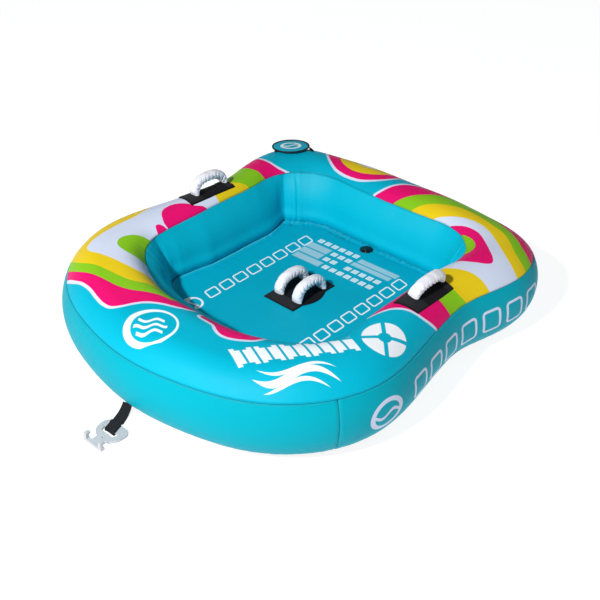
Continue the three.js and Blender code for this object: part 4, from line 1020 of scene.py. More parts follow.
def build_floor(b):
    vec = coords()
    x, y, z, v = vec
    c = FLOORC
    # outlined slanted blocks in a row along each side
    shapes = None
    for x0, y0, y1 in ((-0.292, -0.33, 0.352), (0.268, -0.33, 0.352)):
        n = 8
        pitch = (y1 - y0) / n
        p = y - y0 + (x - x0) * 0.25
        cell = (xfract(p / pitch) - 0.5) * pitch
        box = rounded_box(cell, x - x0, pitch * 0.5 - 0.009, 0.031, 0.012)
        outl = xabs(box + 0.0036) - 0.0037
        outl = xmax(outl, xabs(p - (y1 - y0) / 2) - (y1 - y0) / 2)
        shapes = outl if shapes is None else xmin(shapes, outl)
    shapes = xmin(shapes, corner_ring(x, y, z))
    c = mix(inside(shapes, 0.0012), c, INK)
    # blank information panel: squares and bars
    gx, gy = x + 0.004, y - 0.2 - (x + 0.02) * 0.03
    col_w, row_h = 0.0415, 0.0545
    cx, cy = (xfract(gx / col_w) - 0.5) * col_w, (xfract(gy / row_h + 0.5) - 0.5) * row_h
    sq = rounded_box(cx, cy, 0.0148, 0.0148, 0.002)
    inner = rounded_box(cx, cy, 0.0118, 0.0118, 0.001)

    def zone(x0, x1, y0, y1):
        return xmax(xabs(gx - (x0 + x1) / 2) - (x1 - x0) / 2, xabs(gy - (y0 + y1) / 2) - (y1 - y0) / 2)

    w, h = col_w, row_h
    zones = xmin(zone(-6 * w, 0 * w, 2.5 * h, 3.5 * h), xmin(zone(-3 * w, 0, 1.5 * h, 2.5 * h), xmin(zone(-3 * w, -1 * w, 0.5 * h, 1.5 * h), xmin(zone(0, 5 * w, 0.5 * h, 1.5 * h), zone(-2 * w, 5 * w, -0.5 * h, 0.5 * h)))))
    squares = xmax(sq, zones)
    bars = xmin(zone(-6.4 * w, -3.2 * w, 1.55 * h, 2.42 * h), xmin(zone(-6.2 * w, -3.2 * w, 0.55 * h, 1.42 * h), xmin(zone(-6.0 * w, -2.2 * w, -0.4 * h, 0.42 * h), xmin(zone(0.3 * w, 5.6 * w, 2.3 * h, 2.95 * h), zone(0.1 * w, 5.3 * w, 1.62 * h, 2.2 * h)))))
    line = xabs((xfract(gy / 0.0085) - 0.5) * 0.0085) - 0.0024
    c = mix(inside(bars, 0.001) * 0.22, c, INK)
    c = mix(inside(xmax(bars + 0.003, line), 0.001) * 0.45, c, INK)
    c = mix(inside(squares, 0.0008), c, INK)
    spot = noise(combine(xfloor(gx / col_w), xfloor(gy / row_h + 0.5)), 7.0, 0.0)
    c = mix(inside(xmax(inner, zones), 0.0008) * ramp(spot, 0.42, 0.58, 0.05, 0.55), c, lin(60, 190, 205))
    sd, sl = attr("seam_d"), attr("seam_l")
    st = stitch_line(sd, sl, 0.034)
    c = mix(st * 0.4, c, lin(0, 60, 80))
    # painted highlight: a pale line along the crest of the floor's rolled edge at the foot of the wall, on the left
    # side and in patches along the back
    lip_painted_highlight = inside(xabs(sd - 0.0125) - 0.0018, 0.0014)
    patchy = ramp(noise(v, 26.0, 2.0), 0.42, 0.6, 0.15, 1.0)
    c = mix(lip_painted_highlight * inside(x + 0.2, 0.1) * 0.55, c, lin(130, 222, 238))
    c = mix(lip_painted_highlight * inside(0.28 - y, 0.06) * patchy * 0.4, c, lin(120, 222, 238))
    hsv = X.tree.nodes.new("ShaderNodeHueSaturation")
    X.tree.links.new(c, hsv.inputs["Color"])
    X.tree.links.new(ramp(noise(v, 4.0, 3.0), 0.3, 0.7, 0.95, 1.03).v, hsv.inputs["Value"])
    link(hsv.outputs[0], b, "Base Color")
    link(ramp(noise(v, 40.0, 2.0), 0.3, 0.7, 0.42, 0.52), b, "Roughness")
    link(cloth_bump(vec, st), b, "Normal")


m_floor = material("floor_nylon_look", build_floor, 0.5, specular=0.14)
piece("floor_panel", fv, ff, m_floor, {"seam_d": np.append(dd.ravel(), 1.0), "seam_l": np.append(np.broadcast_to(foot_arc, dd.shape).ravel(), 0.0)}, slot="floor_nylon", replaces=("floor_cover",))


# ------------------------------------------------------------------ air chambers inside
def build_film(b):
    x, y, z, v = coords()
    n = noise(v, 22.0, 3.0)
    link(mix(n, lin(40, 46, 52), lin(62, 70, 78)), b, "Base Color")
    link(ramp(n, 0.3, 0.7, 0.3, 0.45), b, "Roughness")
    link(bump(n, 0.002, 0.4), b, "Normal")


m_film = material("chamber_film_look", build_film, 0.4, specular=0.5)

# ------------------------------------------------------------------ shared dark fabrics and plastics
def weave_normal(vec, pitch, depth, strength=0.8):
    x, y, z, v = vec
    k = 2 * math.pi / pitch
    a = xsin(x * k) * xsin(y * k)
    return bump(a, depth, strength)


def build_pad(b):
    vec = coords()
    n = noise(vec[3], 60.0, 3.0)
    link(mix(n, lin(13, 12, 16), lin(23, 22, 27)), b, "Base Color")
    link(ramp(n, 0.3, 0.7, 0.72, 0.9), b, "Roughness")
    link(bump(noise(vec[3], 900.0, 2.0), 0.0006, 0.6, below=weave_normal(vec, 0.0016, 0.0003, 0.4)), b, "Normal")


def build_web(b):
    vec = coords()
    x, y, z, v = vec
    u, w = attr("web_u"), attr("web_w")
    rib = xsin(w * (2 * math.pi / 0.0031))
    cross = xsin(u * (2 * math.pi / 0.0024) + rib * 1.4)
    n = noise(v, 45.0, 3.0)
    c = mix(n, lin(24, 24, 29), lin(40, 41, 47))
    c = mix(ramp(cross, -1, 1, 0.0, 0.45), c, lin(18, 18, 22))
    edge = attr("web_edge")
    c = mix(edge * 0.7, c, lin(12, 12, 15))
    link(c, b, "Base Color")
    link(ramp(n, 0.3, 0.7, 0.7, 0.85), b, "Roughness")
    link(bump(rib * 0.6 + cross * 0.6, 0.0007, 0.8), b, "Normal")


def build_binding(b):
    vec = coords()
    n = noise(vec[3], 80.0, 2.0)
    link(mix(n, lin(14, 14, 17), lin(28, 28, 33)), b, "Base Color")
    link(ramp(n, 0.3, 0.7, 0.5, 0.7), b, "Roughness")
    link(bump(noise(vec[3], 700.0, 2.0), 0.0005, 0.6), b, "Normal")


def build_valve(b):
    vec = coords()
    n = noise(vec[3], 120.0, 3.0)
    link(mix(n, lin(12, 13, 17), lin(22, 24, 30)), b, "Base Color")
    link(ramp(n, 0.3, 0.7, 0.16, 0.26), b, "Roughness")
    link(bump(noise(vec[3], 1500.0, 1.0), 0.0002, 0.5), b, "Normal")


def build_white_plastic(b):
    vec = coords()
    n = noise(vec[3], 35.0, 3.0)
    link(mix(n, lin(178, 181, 186), lin(198, 201, 205)), b, "Base Color")
    link(ramp(noise(vec[3], 90.0, 4.0), 0.35, 0.7, 0.22, 0.36), b, "Roughness")
    link(bump(noise(vec[3], 260.0, 2.0), 0.0003, 0.25), b, "Normal")


def build_metal(b):
    vec = coords()
    n = noise(vec[3], 300.0, 2.0, stretch=(1, 12, 12))
    link(mix(n, lin(150, 152, 156), lin(188, 190, 194)), b, "Base Color")
    link(ramp(n, 0.3, 0.7, 0.25, 0.42), b, "Roughness")
    link(bump(n, 0.0002, 0.3), b, "Normal")


m_pad = material("guard_pad_look", build_pad, 0.8, specular=0.18, sheen=0.02)
m_web = material("black_webbing_look", build_web, 0.8, specular=0.22, sheen=0.03)
m_bind = material("black_binding_look", build_binding, 0.6, specular=0.35)
m_valve = material("valve_plastic_look", build_valve, 0.35, specular=0.5)
m_plastic = material("white_plastic_look", build_white_plastic, 0.3, specular=0.4, coat=0.1, coat_rough=0.2)
m_metal = material("zip_metal_look", build_metal, 0.35, metallic=1.0)

# the ring's chamber: the shaped cover drawn inwards, closed under the cockpit wall
CH = np.concatenate([BOT[:, ::3][:, :-1], SIDE[:, ::3], TOP[:, ::4], WALL[:, 2:-4:4]], 1)[:: 1 if QUICK else 2]
under = []
fl = np.linalg.norm(ST["F"], axis=1)
for grow, z_ in ((0.004, 0.100), (0.005, 0.060), (0.008, 0.024), (0.024, 0.006)):
    q = np.zeros((N, 3))
    q[:, :2] = ST["F"] * (1 + grow / fl)[:, None]
    q[:, 2] = z_
    under.append(q)
q = under[-1].copy()
q[:, :2] = (q[:, :2] + BOT[:, 0, :2]) / 2
under.append(q)
CH = np.concatenate([CH, np.stack(under, 1)[:: 1 if QUICK else 2]], 1)
di = np.roll(CH, -1, 0) - np.roll(CH, 1, 0)
dj = np.roll(CH, -1, 1) - np.roll(CH, 1, 1)
cn = np.cross(di, dj)
cn /= np.linalg.norm(cn, axis=2, keepdims=True)
for _ in range(6):
    cn = cn + 0.5 * (np.roll(cn, 1, 0) + np.roll(cn, -1, 0))
    cn /= np.linalg.norm(cn, axis=2, keepdims=True)
CH = CH - cn * 0.0075
ci, cj = CH.shape[:2]
ii, jj = np.arange(ci)[:, None], np.arange(cj)[None]
cf = np.stack([ii * cj + jj, (ii + 1) % ci * cj + jj, (ii + 1) % ci * cj + (jj + 1) % cj, ii * cj + (jj + 1) % cj], -1).reshape(-1, 4)
piece("ring_chamber", CH.reshape(-1, 3), cf, m_film, slot="chamber_film", replaces=("main_air_chamber",))
frame["nodes"]["floor_air_chamber"].data.materials.clear()
frame["nodes"]["floor_air_chamber"].data.materials.append(m_film)


# ------------------------------------------------------------------ flexible slabs that follow a surface
def pad_slab(name, outline_fn, nu, nv, lift, thick, mat, edge=0.004, body="tube", slot=None, replaces=(), z_fn=top_at, crown=0.0, extra=None, attrs_fn=None):
    """A thin cushioned sheet over z_fn: outline_fn(u, v) gives plan points for u, v in 0..1."""
    us = np.concatenate([[0, 0.006, 0.015], np.linspace(0.03, 0.97, nu), [0.985, 0.994, 1]])
    vs = np.concatenate([[0, 0.006, 0.015], np.linspace(0.03, 0.97, nv), [0.985, 0.994, 1]])
    P = np.zeros((len(vs), len(us), 3))
    for a, v in enumerate(vs):
        for b_, u in enumerate(us):
            P[a, b_, :2] = outline_fn(u, v)
    dist_u = across(P)
    du = np.minimum(dist_u, dist_u[:, -1:] - dist_u)
    PT = np.transpose(P, (1, 0, 2))
    dist_v = across(PT).T
    dvv = np.minimum(dist_v, dist_v[-1:] - dist_v)
    de = np.minimum(du, dvv)
    base = np.array([[z_fn(*P[a, b_, :2]) for b_ in range(len(us))] for a in range(len(vs))])
    k = np.clip(de / edge, 0, 1)
    roll = np.sqrt(np.clip(1 - (1 - k) ** 2, 0, 1))
    top_z = base + lift + thick * (0.25 + 0.75 * roll) + crown * np.clip(de / 0.03, 0, 1)
    if extra is not None:
        top_z = top_z + extra(P, de, dist_u, dist_v)
    up, dn = P.copy(), P.copy()
    up[..., 2] = top_z
    dn[..., 2] = base + lift
    ni, njj = P.shape[:2]
    V = np.vstack([up.reshape(-1, 3), dn.reshape(-1, 3)])
    F = grid_faces(ni, njj, False, flip=True).tolist() + grid_faces(ni, njj, False, base=ni * njj).tolist()
    M = ni * njj
    rim = [(0, j) for j in range(njj)] + [(i, njj - 1) for i in range(1, ni)] + [(ni - 1, j) for j in range(njj - 2, -1, -1)] + [(i, 0) for i in range(ni - 2, 0, -1)]
    ids = [i * njj + j for i, j in rim]
    for k2 in range(len(ids)):
        p, q = ids[k2], ids[(k2 + 1) % len(ids)]
        F.append([p, q, q + M, p + M])
    at = {"web_u": np.concatenate([dist_v.ravel()] * 2), "web_w": np.concatenate([dist_u.ravel()] * 2), "web_edge": np.concatenate([np.exp(-de.ravel() / 0.002)] * 2)}
    o = piece(name, V, F, mat, at, body=body, slot=slot, replaces=replaces)
    fix_normals(o)
    return o


def fix_normals(o):
    import bmesh

    bm = bmesh.new()
    bm.from_mesh(o.data)
    bmesh.ops.recalc_face_normals(bm, faces=bm.faces)
    bm.to_mesh(o.data)
    bm.free()
    o.data.update()


GUARD = np.array([[0.571, -0.136], [0.678, -0.121], [0.667, 0.127], [0.556, 0.119]])


def guard_plan(side, u0=0.0, u1=1.0, v0=0.0, v1=1.0):
    def f(u, v):
        u, v = u0 + (u1 - u0) * u, v0 + (v1 - v0) * v
        p = (GUARD[0] * (1 - v) + GUARD[3] * v) * (1 - u) + (GUARD[1] * (1 - v) + GUARD[2] * v) * u
        return side * p[0], p[1]

    return f


stitch_dent = lambda P, de, du, dv_: -0.0006 * np.exp(-(((de - 0.005) / 0.0011) ** 2))
nq = 0.5 if QUICK else 1.0
for side, nm in ((1, "right"), (-1, "left")):
    pad_slab(f"guard_pad_{nm}", guard_plan(side), int(34 * nq), int(70 * nq), 0.0012, 0.0042, m_pad, slot="guard_pad", replaces=(f"guard_{nm}",), extra=stitch_dent)
    for part, v0, v1 in (("front", 0.01, 0.31), ("back", 0.86, 0.99)):
        pad_slab(f"guard_band_{nm}_{part}", guard_plan(side, 0.012, 0.988, v0, v1), int(34 * nq), int((26 if part == "front" else 12) * nq), 0.0056, 0.0016, m_web, edge=0.0014, slot="black_webbing", replaces=(f"guard_{nm}_strip_{part}",), extra=stitch_dent)


def centre_plan(u, v):
    y = -0.161 + 0.27 * v
    bulge = 0.012 * (1 - ((y + 0.0275) / 0.0725) ** 2) if abs(y + 0.0275) < 0.0725 else 0.0
    x0, x1 = -0.105 - bulge, 0.068 + bulge * 1.9
    return x0 + (x1 - x0) * u, y


floor_z = lambda x, y: FLOOR + 0.0004
pad_slab("guard_pad_centre", centre_plan, int(50 * nq), int(70 * nq), 0.0, 0.0042, m_pad, slot="guard_pad", replaces=("guard_centre",), z_fn=floor_z, extra=stitch_dent)
for part, y0, y1 in (("front", -0.159, -0.098), ("back", 0.052, 0.107)):
    pad_slab(f"guard_band_centre_{part}", lambda u, v, y0=y0, y1=y1: (-0.103 + 0.169 * u, y0 + (y1 - y0) * v), int(50 * nq), int(18 * nq), 0.0046, 0.0016, m_web, edge=0.0014, slot="black_webbing", replaces=(f"guard_centre_strip_{part}",), z_fn=floor_z, extra=stitch_dent)

# ------------------------------------------------------------------ grips
GRIP_Z = 0.3812 + 0.0028 + 0.004 + 0.0008 + 0.0015 + 0.0015
CENTRE_Z = 0.1134 + 0.004 + 0.0004 + 0.0015 + 0.0015
GRIPS = {
    "left": dict(x=-0.613, y0=-0.076, y1=0.098, base=GRIP_Z, rise=0.064, lean=0.0, skew=-0.012, inner=1, seed=71),
    "right": dict(x=0.613, y0=-0.068, y1=0.098, base=GRIP_Z, rise=0.043, lean=14 * D, skew=0.006, inner=-1, seed=72),
    "centre_left": dict(x=-0.064, y0=-0.106, y1=0.050, base=CENTRE_Z, rise=0.068, lean=0.0, skew=0.0, inner=1, seed=73),
    "centre_right": dict(x=0.040, y0=-0.106, y1=0.050, base=CENTRE_Z, rise=0.067, lean=0.0, skew=0.0, inner=1, seed=74),
}


def arch_points(g, t):
    tau = t * math.pi
    c, s = np.cos(tau), np.sin(tau)
    y = (g["y0"] + g["y1"]) / 2 - (g["y1"] - g["y0"]) / 2 * np.sign(c) * np.abs(c) ** 0.8 + g["skew"] * s
    return y, g["rise"] * np.abs(s) ** 0.8


def build_sleeve(b):
    vec = coords()
    n = noise(vec[3], 30.0, 3.0)
    deep = attr("fold")
    c = mix(n, lin(228, 229, 240), lin(241, 242, 250))
    # painted shade: the deep creases of the gathers turn a dark grey lavender by their fold depth
    c = mix(ramp(deep, 0.2, 0.9, 0.0, 0.8), c, lin(74, 70, 100))
    link(c, b, "Base Color")
    link(ramp(n, 0.3, 0.7, 0.6, 0.78), b, "Roughness")
    fine = noise(vec[3], 700.0, 2.0)
    link(bump(fine, 0.0005, 0.5), b, "Normal")


m_sleeve = material("white_neoprene_look", build_sleeve, 0.7, specular=0.3, sheen=0.15)


def sewn_down(o, name, g):
    """The feet stay sewn to the guard while the arch above them tilts."""
    y = (g["y0"] + g["y1"]) / 2
    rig.blend(o, "tube", f"grip_{name}", start=(g["x"], y, g["base"]), end=(g["x"], y, g["base"] + 0.034))


def sleeve(name, g):
    nt, na = (110, 40) if QUICK else (240, 72)
    t = np.linspace(0.012, 0.988, nt)
    y, h = arch_points(g, t)
    k = np.linspace(0, 1, nt)
    ty, th = np.gradient(y), np.gradient(h)
    l = np.hypot(ty, th)
    ty, th = ty / l, th / l
    run = np.concatenate([[0], np.cumsum(np.hypot(np.diff(y), np.diff(h)))])
    end = np.minimum(run, run[-1] - run)
    ang = np.arange(na) / na * 2 * np.pi
    # width across X and height in the arch's plane
    W0, H0 = 0.0236, 0.0205
    foot = np.exp(-((end / 0.013) ** 2))
    w = W0 * (1 + 0.10 * foot)
    hh = H0 * (1 - 0.42 * foot)
    ca, sa = np.cos(ang), np.sin(ang)
    # gathers: deep on the inside of the arch, fading round to the outside
    inner = np.clip(0.56 - 0.56 * sa, 0, 1) ** 0.8
    rs = np.random.RandomState(g["seed"])
    phase = rs.uniform(0, 6, 4)
    L = run[-1]
    folds = 11
    warp = 0.010 * np.sin(ang[None] * 2 + phase[0]) + 0.006 * wobble(run[:, None] * 1.0 + 0.01 * ang[None], 0.03, g["seed"])
    q = (run[:, None] + warp) / L * folds
    tri = np.abs(2 * (q - np.floor(q)) - 1)
    amp = 0.75 + 0.35 * wobble(q, 1.0, g["seed"] + 5)
    crease = np.clip(1 - tri / 0.55, 0, 1) ** 1.3 * amp
    small = 0.25 * np.abs(np.sin(q * math.pi * 2.7 + ang[None] * 1.5 + phase[1])) ** 3
    body = np.clip(end / 0.02, 0, 1)[:, None]
    depth = (crease + small) * inner[None] * body
    dr = -0.0078 * depth + 0.0016 * inner[None] * body * (1 - crease)
    # long soft pulls on the outside
    dr = dr + 0.0007 * np.sin(q * math.pi * 0.9 + ang[None] * 3 + phase[2]) * (1 - inner[None]) * body
    e = 2 / 2.3
    cx = np.sign(ca) * np.abs(ca) ** e
    sx = np.sign(sa) * np.abs(sa) ** e
    wx = w[:, None] * cx[None] + dr * ca[None]
    hx = hh[:, None] * sx[None] + dr * sa[None]
    Y = y[:, None] + hx * -th[:, None]
    Hh = h[:, None] + hx * ty[:, None]
    cl, sl = math.cos(g["lean"]), math.sin(g["lean"])
    P = np.stack([g["x"] + wx * cl + Hh * sl, Y, g["base"] - wx * sl + Hh * cl], -1)
    low = g["base"] + 0.0002
    P[..., 2] = np.maximum(P[..., 2], low)
    V = P.reshape(-1, 3)
    i = np.arange(nt - 1)[:, None]
    j = np.arange(na)[None]
    F = np.stack([i * na + j, i * na + (j + 1) % na, (i + 1) * na + (j + 1) % na, (i + 1) * na + j], -1).reshape(-1, 4).tolist()
    V = np.vstack([V, P[0].mean(0)[None], P[-1].mean(0)[None]])
    c0, c1 = nt * na, nt * na + 1
    for a in range(na):
        F.append([c0, (a + 1) % na, a])
        F.append([c1, (nt - 1) * na + a, (nt - 1) * na + (a + 1) % na])
    # the crease depth, kept for the painted shade in the sleeve's colour
    fold = np.append(depth.ravel(), [0, 0])
    o = piece(f"grip_{name}_cover", V, F, m_sleeve, {"fold": fold}, slot="white_neoprene", replaces=(f"grip_{name}_sleeve",), ride=False)
    fix_normals(o)
    sewn_down(o, name, g)
    return o


def grip_core(name, g):
    """The flat webbing inside a sleeve, sewn down at both ends."""
    n, m = 90, 9
    t = np.linspace(0.006, 0.994, n)
    y, h = arch_points(g, t)
    ty, th = np.gradient(y), np.gradient(h)
    l = np.hypot(ty, th)
    ty, th = ty / l, th / l
    run = np.concatenate([[0], np.cumsum(np.hypot(np.diff(y), np.diff(h)))])
    cl, sl = math.cos(g["lean"]), math.sin(g["lean"])
    V, wu, ww, we = [], [], [], []
    for sgn in (1, -1):
        for i in range(n):
            for q in range(m):
                w = (q / (m - 1) * 2 - 1) * 0.0165
                e = 0.0011 * sgn
                Y, Hh = y[i] - th[i] * e, h[i] + ty[i] * e
                V.append((g["x"] + w * cl + Hh * sl, Y, max(g["base"] + 0.0001 * (1 + sgn), g["base"] - w * sl + Hh * cl)))
                wu.append(run[i])
                ww.append(w)
                we.append(math.exp(-(0.0165 - abs(w)) / 0.002))
    F = grid_faces(n, m, False).tolist() + grid_faces(n, m, False, base=n * m, flip=True).tolist()
    M = n * m
    for k in range(n - 1):
        F.append([k * m, (k + 1) * m, M + (k + 1) * m, M + k * m])
        F.append([k * m + m - 1, M + k * m + m - 1, M + (k + 1) * m + m - 1, (k + 1) * m + m - 1])
    for q in range(m - 1):
        F.append([q, M + q, M + q + 1, q + 1])
        F.append([(n - 1) * m + q, (n - 1) * m + q + 1, M + (n - 1) * m + q + 1, M + (n - 1) * m + q])
    o = piece(f"grip_{name}_core", V, F, m_web, {"web_u": wu, "web_w": ww, "web_edge": we}, slot="black_webbing", replaces=(f"grip_{name}_webbing",), ride=False)
    fix_normals(o)
    sewn_down(o, name, g)


for nm, g in GRIPS.items():
    s = sleeve(nm, g)
    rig.padded(s, fill=0.7)
    grip_core(nm, g)

# ------------------------------------------------------------------ turned parts
def lathe(name, profile, where, mat, seg=64, body="tube", slot=None, replaces=(), knurl=None):
    prof = np.array(profile, float) / 1000
    V, F = [], []
    m = len(prof)
    for i in range(seg):
        a = i / seg * 2 * math.pi
        for k, (r_, z_) in enumerate(prof):
            rr = r_
            if knurl and knurl[0] <= k <= knurl[1]:
                rr = r_ - knurl[2] * (0.5 + 0.5 * math.cos(a * knurl[3])) ** 2
            V.append((where[0] + rr * math.cos(a), where[1] + rr * math.sin(a), where[2] + z_))
    closed = prof[0][0] > 1e-6
    for i in range(seg):
        for k in range(m if closed else m - 1):
            a, b_ = i * m + k, ((i + 1) % seg) * m + k
            c_, d_ = ((i + 1) % seg) * m + (k + 1) % m, i * m + (k + 1) % m
            F.append([a, b_, c_, d_])
    import bmesh

    o = piece(name, V, F, mat, body=body, slot=slot, replaces=replaces)
    bm = bmesh.new()
    bm.from_mesh(o.data)
    bmesh.ops.remove_doubles(bm, verts=bm.verts, dist=1e-6)
    bmesh.ops.dissolve_degenerate(bm, edges=bm.edges, dist=1e-7)
    bmesh.ops.recalc_face_normals(bm, faces=bm.faces)
    bm.to_mesh(o.data)
    bm.free()
    mod = o.modifiers.new("bevel", "BEVEL")
    mod.width, mod.segments, mod.limit_method, mod.angle_limit = 0.0005, 2, "ANGLE", 40 * D
    return o


FVX, FVY = -0.027, 0.440
lathe("floor_valve_flange", [[13, -13], [16, -13], [16, 0.4], [31, 0.4], [32, 1.2], [30.5, 3.0], [27, 3.7], [25.5, 3.0], [23.5, 3.0], [22.5, 3.8], [16.5, 3.8], [16, 6.6], [15.2, 7], [13, 7]], (FVX, FVY, FLOOR), m_valve, 72, slot="valve_plastic", replaces=("floor_valve_base",))
lathe("floor_valve_lid", [[0, 7.4], [17, 7.4], [17, 4.4], [18.6, 4.4], [19, 5], [19, 8.6], [17.8, 10], [14, 10.4], [13, 9.6], [6, 9.6], [5.2, 10.4], [0, 10.4]], (FVX, FVY, FLOOR), m_valve, 96, body="floor_valve_cap", slot="valve_plastic", replaces=("floor_valve_cap",), knurl=(3, 5, 0.0007, 24))
VZ = 0.3812 - 0.0055 + 0.0016
lathe("main_valve_flange", [[15, -14], [20, -14], [20, 0.8], [35, 0.8], [36, 1.6], [35, 2.8], [24, 2.8], [20.6, 3.2], [20, 9], [15, 9]], (VALVE[0], VALVE[1], VZ), m_valve, 72, slot="valve_plastic", replaces=("main_valve_base",))
lathe("main_valve_core", [[0, -10], [14.6, -10], [14.6, 9.4], [18.6, 9.4], [19, 10], [18.6, 11], [0, 11]], (VALVE[0], VALVE[1], VZ), m_valve, 64, slot="valve_plastic", replaces=("main_valve_insert",))
lathe("main_valve_lid", [[0, 11.4], [21, 11.4], [21, 4], [22.6, 4], [23, 4.6], [23, 13.6], [21.5, 15.2], [0, 15.4]], (VALVE[0], VALVE[1], VZ), m_valve, 96, body="main_valve_cap", slot="valve_plastic", replaces=("main_valve_cap",), knurl=(3, 5, 0.0008, 28))

# ------------------------------------------------------------------ valve flap
FDIR = math.atan2(0.74, 0.67)
FZ = 0.3939
fc_, fs_ = math.cos(FDIR), math.sin(FDIR)


def flap_world(lx, ly):
    return VALVE[0] + lx * fc_ - ly * fs_, VALVE[1] + lx * fs_ + ly * fc_


def dome(a, b_, top, bottom, nr, na):
    """Oval pad: crowned top, flat underside."""
    V, F = [], []
    for side in (0, 1):
        for k in range(nr + 1):
            rr = k / nr
            for i in range(na):
                an = i / na * 2 * math.pi
                lx, ly = a * rr * math.cos(an), b_ * rr * math.sin(an)
                x, y = flap_world(lx, ly)
                V.append((x, y, (top(rr, an) if side == 0 else bottom(rr, an))))
    M = (nr + 1) * na
    for side in (0, 1):
        for k in range(nr):
            for i in range(na):
                q = [side * M + k * na + i, side * M + k * na + (i + 1) % na, side * M + (k + 1) * na + (i + 1) % na, side * M + (k + 1) * na + i]
                F.append(q if side else q[::-1])
    for i in range(na):
        F.append([nr * na + i, nr * na + (i + 1) % na, M + nr * na + (i + 1) % na, M + nr * na + i])
    return V, F


def build_flap(b):
    vec = coords()
    x, y, z, v = vec
    px, py = x - float(VALVE[0]), y - float(VALVE[1])
    lx, ly = px * fc_ + py * fs_, py * fc_ - px * fs_
    rr = xlen(lx / 1.5, ly)
    ring = xabs(rr - 0.030) - 0.0045
    wave = xmax(xabs(ly - xsin(lx * 85.0) * 0.006) - 0.004, rr - 0.026)
    c = mix(inside(xmin(ring, wave), 0.001), lin(0, 168, 196), INK)
    link(c, b, "Base Color")
    link(ramp(noise(v, 40.0, 2.0), 0.3, 0.7, 0.4, 0.5), b, "Roughness")
    link(cloth_bump(vec), b, "Normal")


m_flap = material("flap_nylon_look", build_flap, 0.45, specular=0.42, sheen=0.04)
V, F = dome(0.0860, 0.0640, lambda r_, a_: FZ + 0.0024 + 0.0030 * (1 - r_**2.4) + 0.0003 * math.sin(a_ * 23) * r_**6, lambda r_, a_: FZ + 0.0002, 14, 96)
o = piece("valve_flap_pad", V, F, m_flap, body="valve_flap", slot="flap_nylon", replaces=("valve_flap",))


def weld(o, dist=1e-5):
    import bmesh

    bm = bmesh.new()
    bm.from_mesh(o.data)
    bmesh.ops.remove_doubles(bm, verts=bm.verts, dist=dist)
    bmesh.ops.dissolve_degenerate(bm, edges=bm.edges, dist=1e-7)
    bmesh.ops.recalc_face_normals(bm, faces=bm.faces)
    bm.to_mesh(o.data)
    bm.free()
    o.data.polygons.foreach_set("use_smooth", [True] * len(o.data.polygons))
    o.data.update()


weld(o)


def tube_loop(name, centre_fn, n, section_fn, m, mat, closed=True, **kw):
    """Sweep: centre_fn(t) -> point, with section_fn(t, angle) -> (radial out in plan, up)."""
    C = np.array([centre_fn(i / n) for i in range(n if closed else n + 1)])
    T = (np.roll(C, -1, 0) - np.roll(C, 1, 0)) if closed else np.gradient(C, axis=0)
    T /= np.linalg.norm(T, axis=1)[:, None]
    O = np.stack([T[:, 1], -T[:, 0], np.zeros(len(T))], -1)
    O /= np.linalg.norm(O, axis=1)[:, None]
    U = np.cross(O, T)
    U = np.where(U[:, 2:3] < 0, -U, U)
    V, F = [], []
    for i in range(len(C)):
        for k in range(m):
            a_, u_ = section_fn(i / n, k / m * 2 * math.pi)
            V.append(C[i] + O[i] * a_ + U[i] * u_)
    L_ = len(C)
    for i in range(L_ if closed else L_ - 1):
        for k in range(m):
            F.append([i * m + k, ((i + 1) % L_) * m + k, ((i + 1) % L_) * m + (k + 1) % m, i * m + (k + 1) % m])
    if not closed:
        F.append([k for k in range(m)])
        F.append([(L_ - 1) * m + k for k in range(m)][::-1])
    o = piece(name, V, F, mat, **kw)
    fix_normals(o)
    return o


def flap_ring(a, b_, z):
    def f(t):
        an = t * 2 * math.pi
        x, y = flap_world(a * math.cos(an), b_ * math.sin(an))
        return (x, y, z)

    return f


tube_loop("valve_flap_edge", flap_ring(0.0892, 0.0672, FZ + 0.0018), 140, lambda t, a_: ((0.0037 + 0.0002 * math.sin(t * 2 * math.pi * 60)) * math.cos(a_), (0.0040 + 0.0002 * math.sin(t * 2 * math.pi * 60)) * math.sin(a_)), 12, m_bind, body="valve_flap", slot="black_binding", replaces=("valve_flap_piping",))
tube_loop("valve_opening_edge", lambda t: (VALVE[0] + 0.0435 * math.cos(t * 2 * math.pi), VALVE[1] + 0.0435 * math.sin(t * 2 * math.pi), top_at(VALVE[0] + 0.0435 * math.cos(t * 2 * math.pi), VALVE[1] + 0.0435 * math.sin(t * 2 * math.pi)) + 0.0003), 72, lambda t, a_: (0.0024 * math.cos(a_), 0.0014 * math.sin(a_)), 8, m_bind, slot="black_binding")


def flap_box(lx0, lx1, ly0, ly1):
    return lambda u, v: flap_world(lx0 + (lx1 - lx0) * u, ly0 + (ly1 - ly0) * v)


pad_slab("valve_flap_tab", flap_box(0.0936, 0.113, -0.031, 0.031), 10, 30, 0.0006, 0.0022, m_web, edge=0.001, slot="black_webbing", replaces=("valve_flap_hinge_tab",), extra=lambda P, de, du, dv_: (np.clip(1 - du / 0.019, 0, 1) ** 0.8) * 0.0125)
pad_slab("valve_flap_loop_tape", flap_box(-0.080, -0.052, -0.024, 0.024), 12, 20, 0.0003, 0.0072, m_bind, edge=0.001, slot="black_binding", replaces=("valve_flap_loop_pad",))
for n in ("valve_flap_hook_tape",):
    frame["nodes"][n].data.materials.clear()
    frame["nodes"][n].data.materials.append(m_bind)

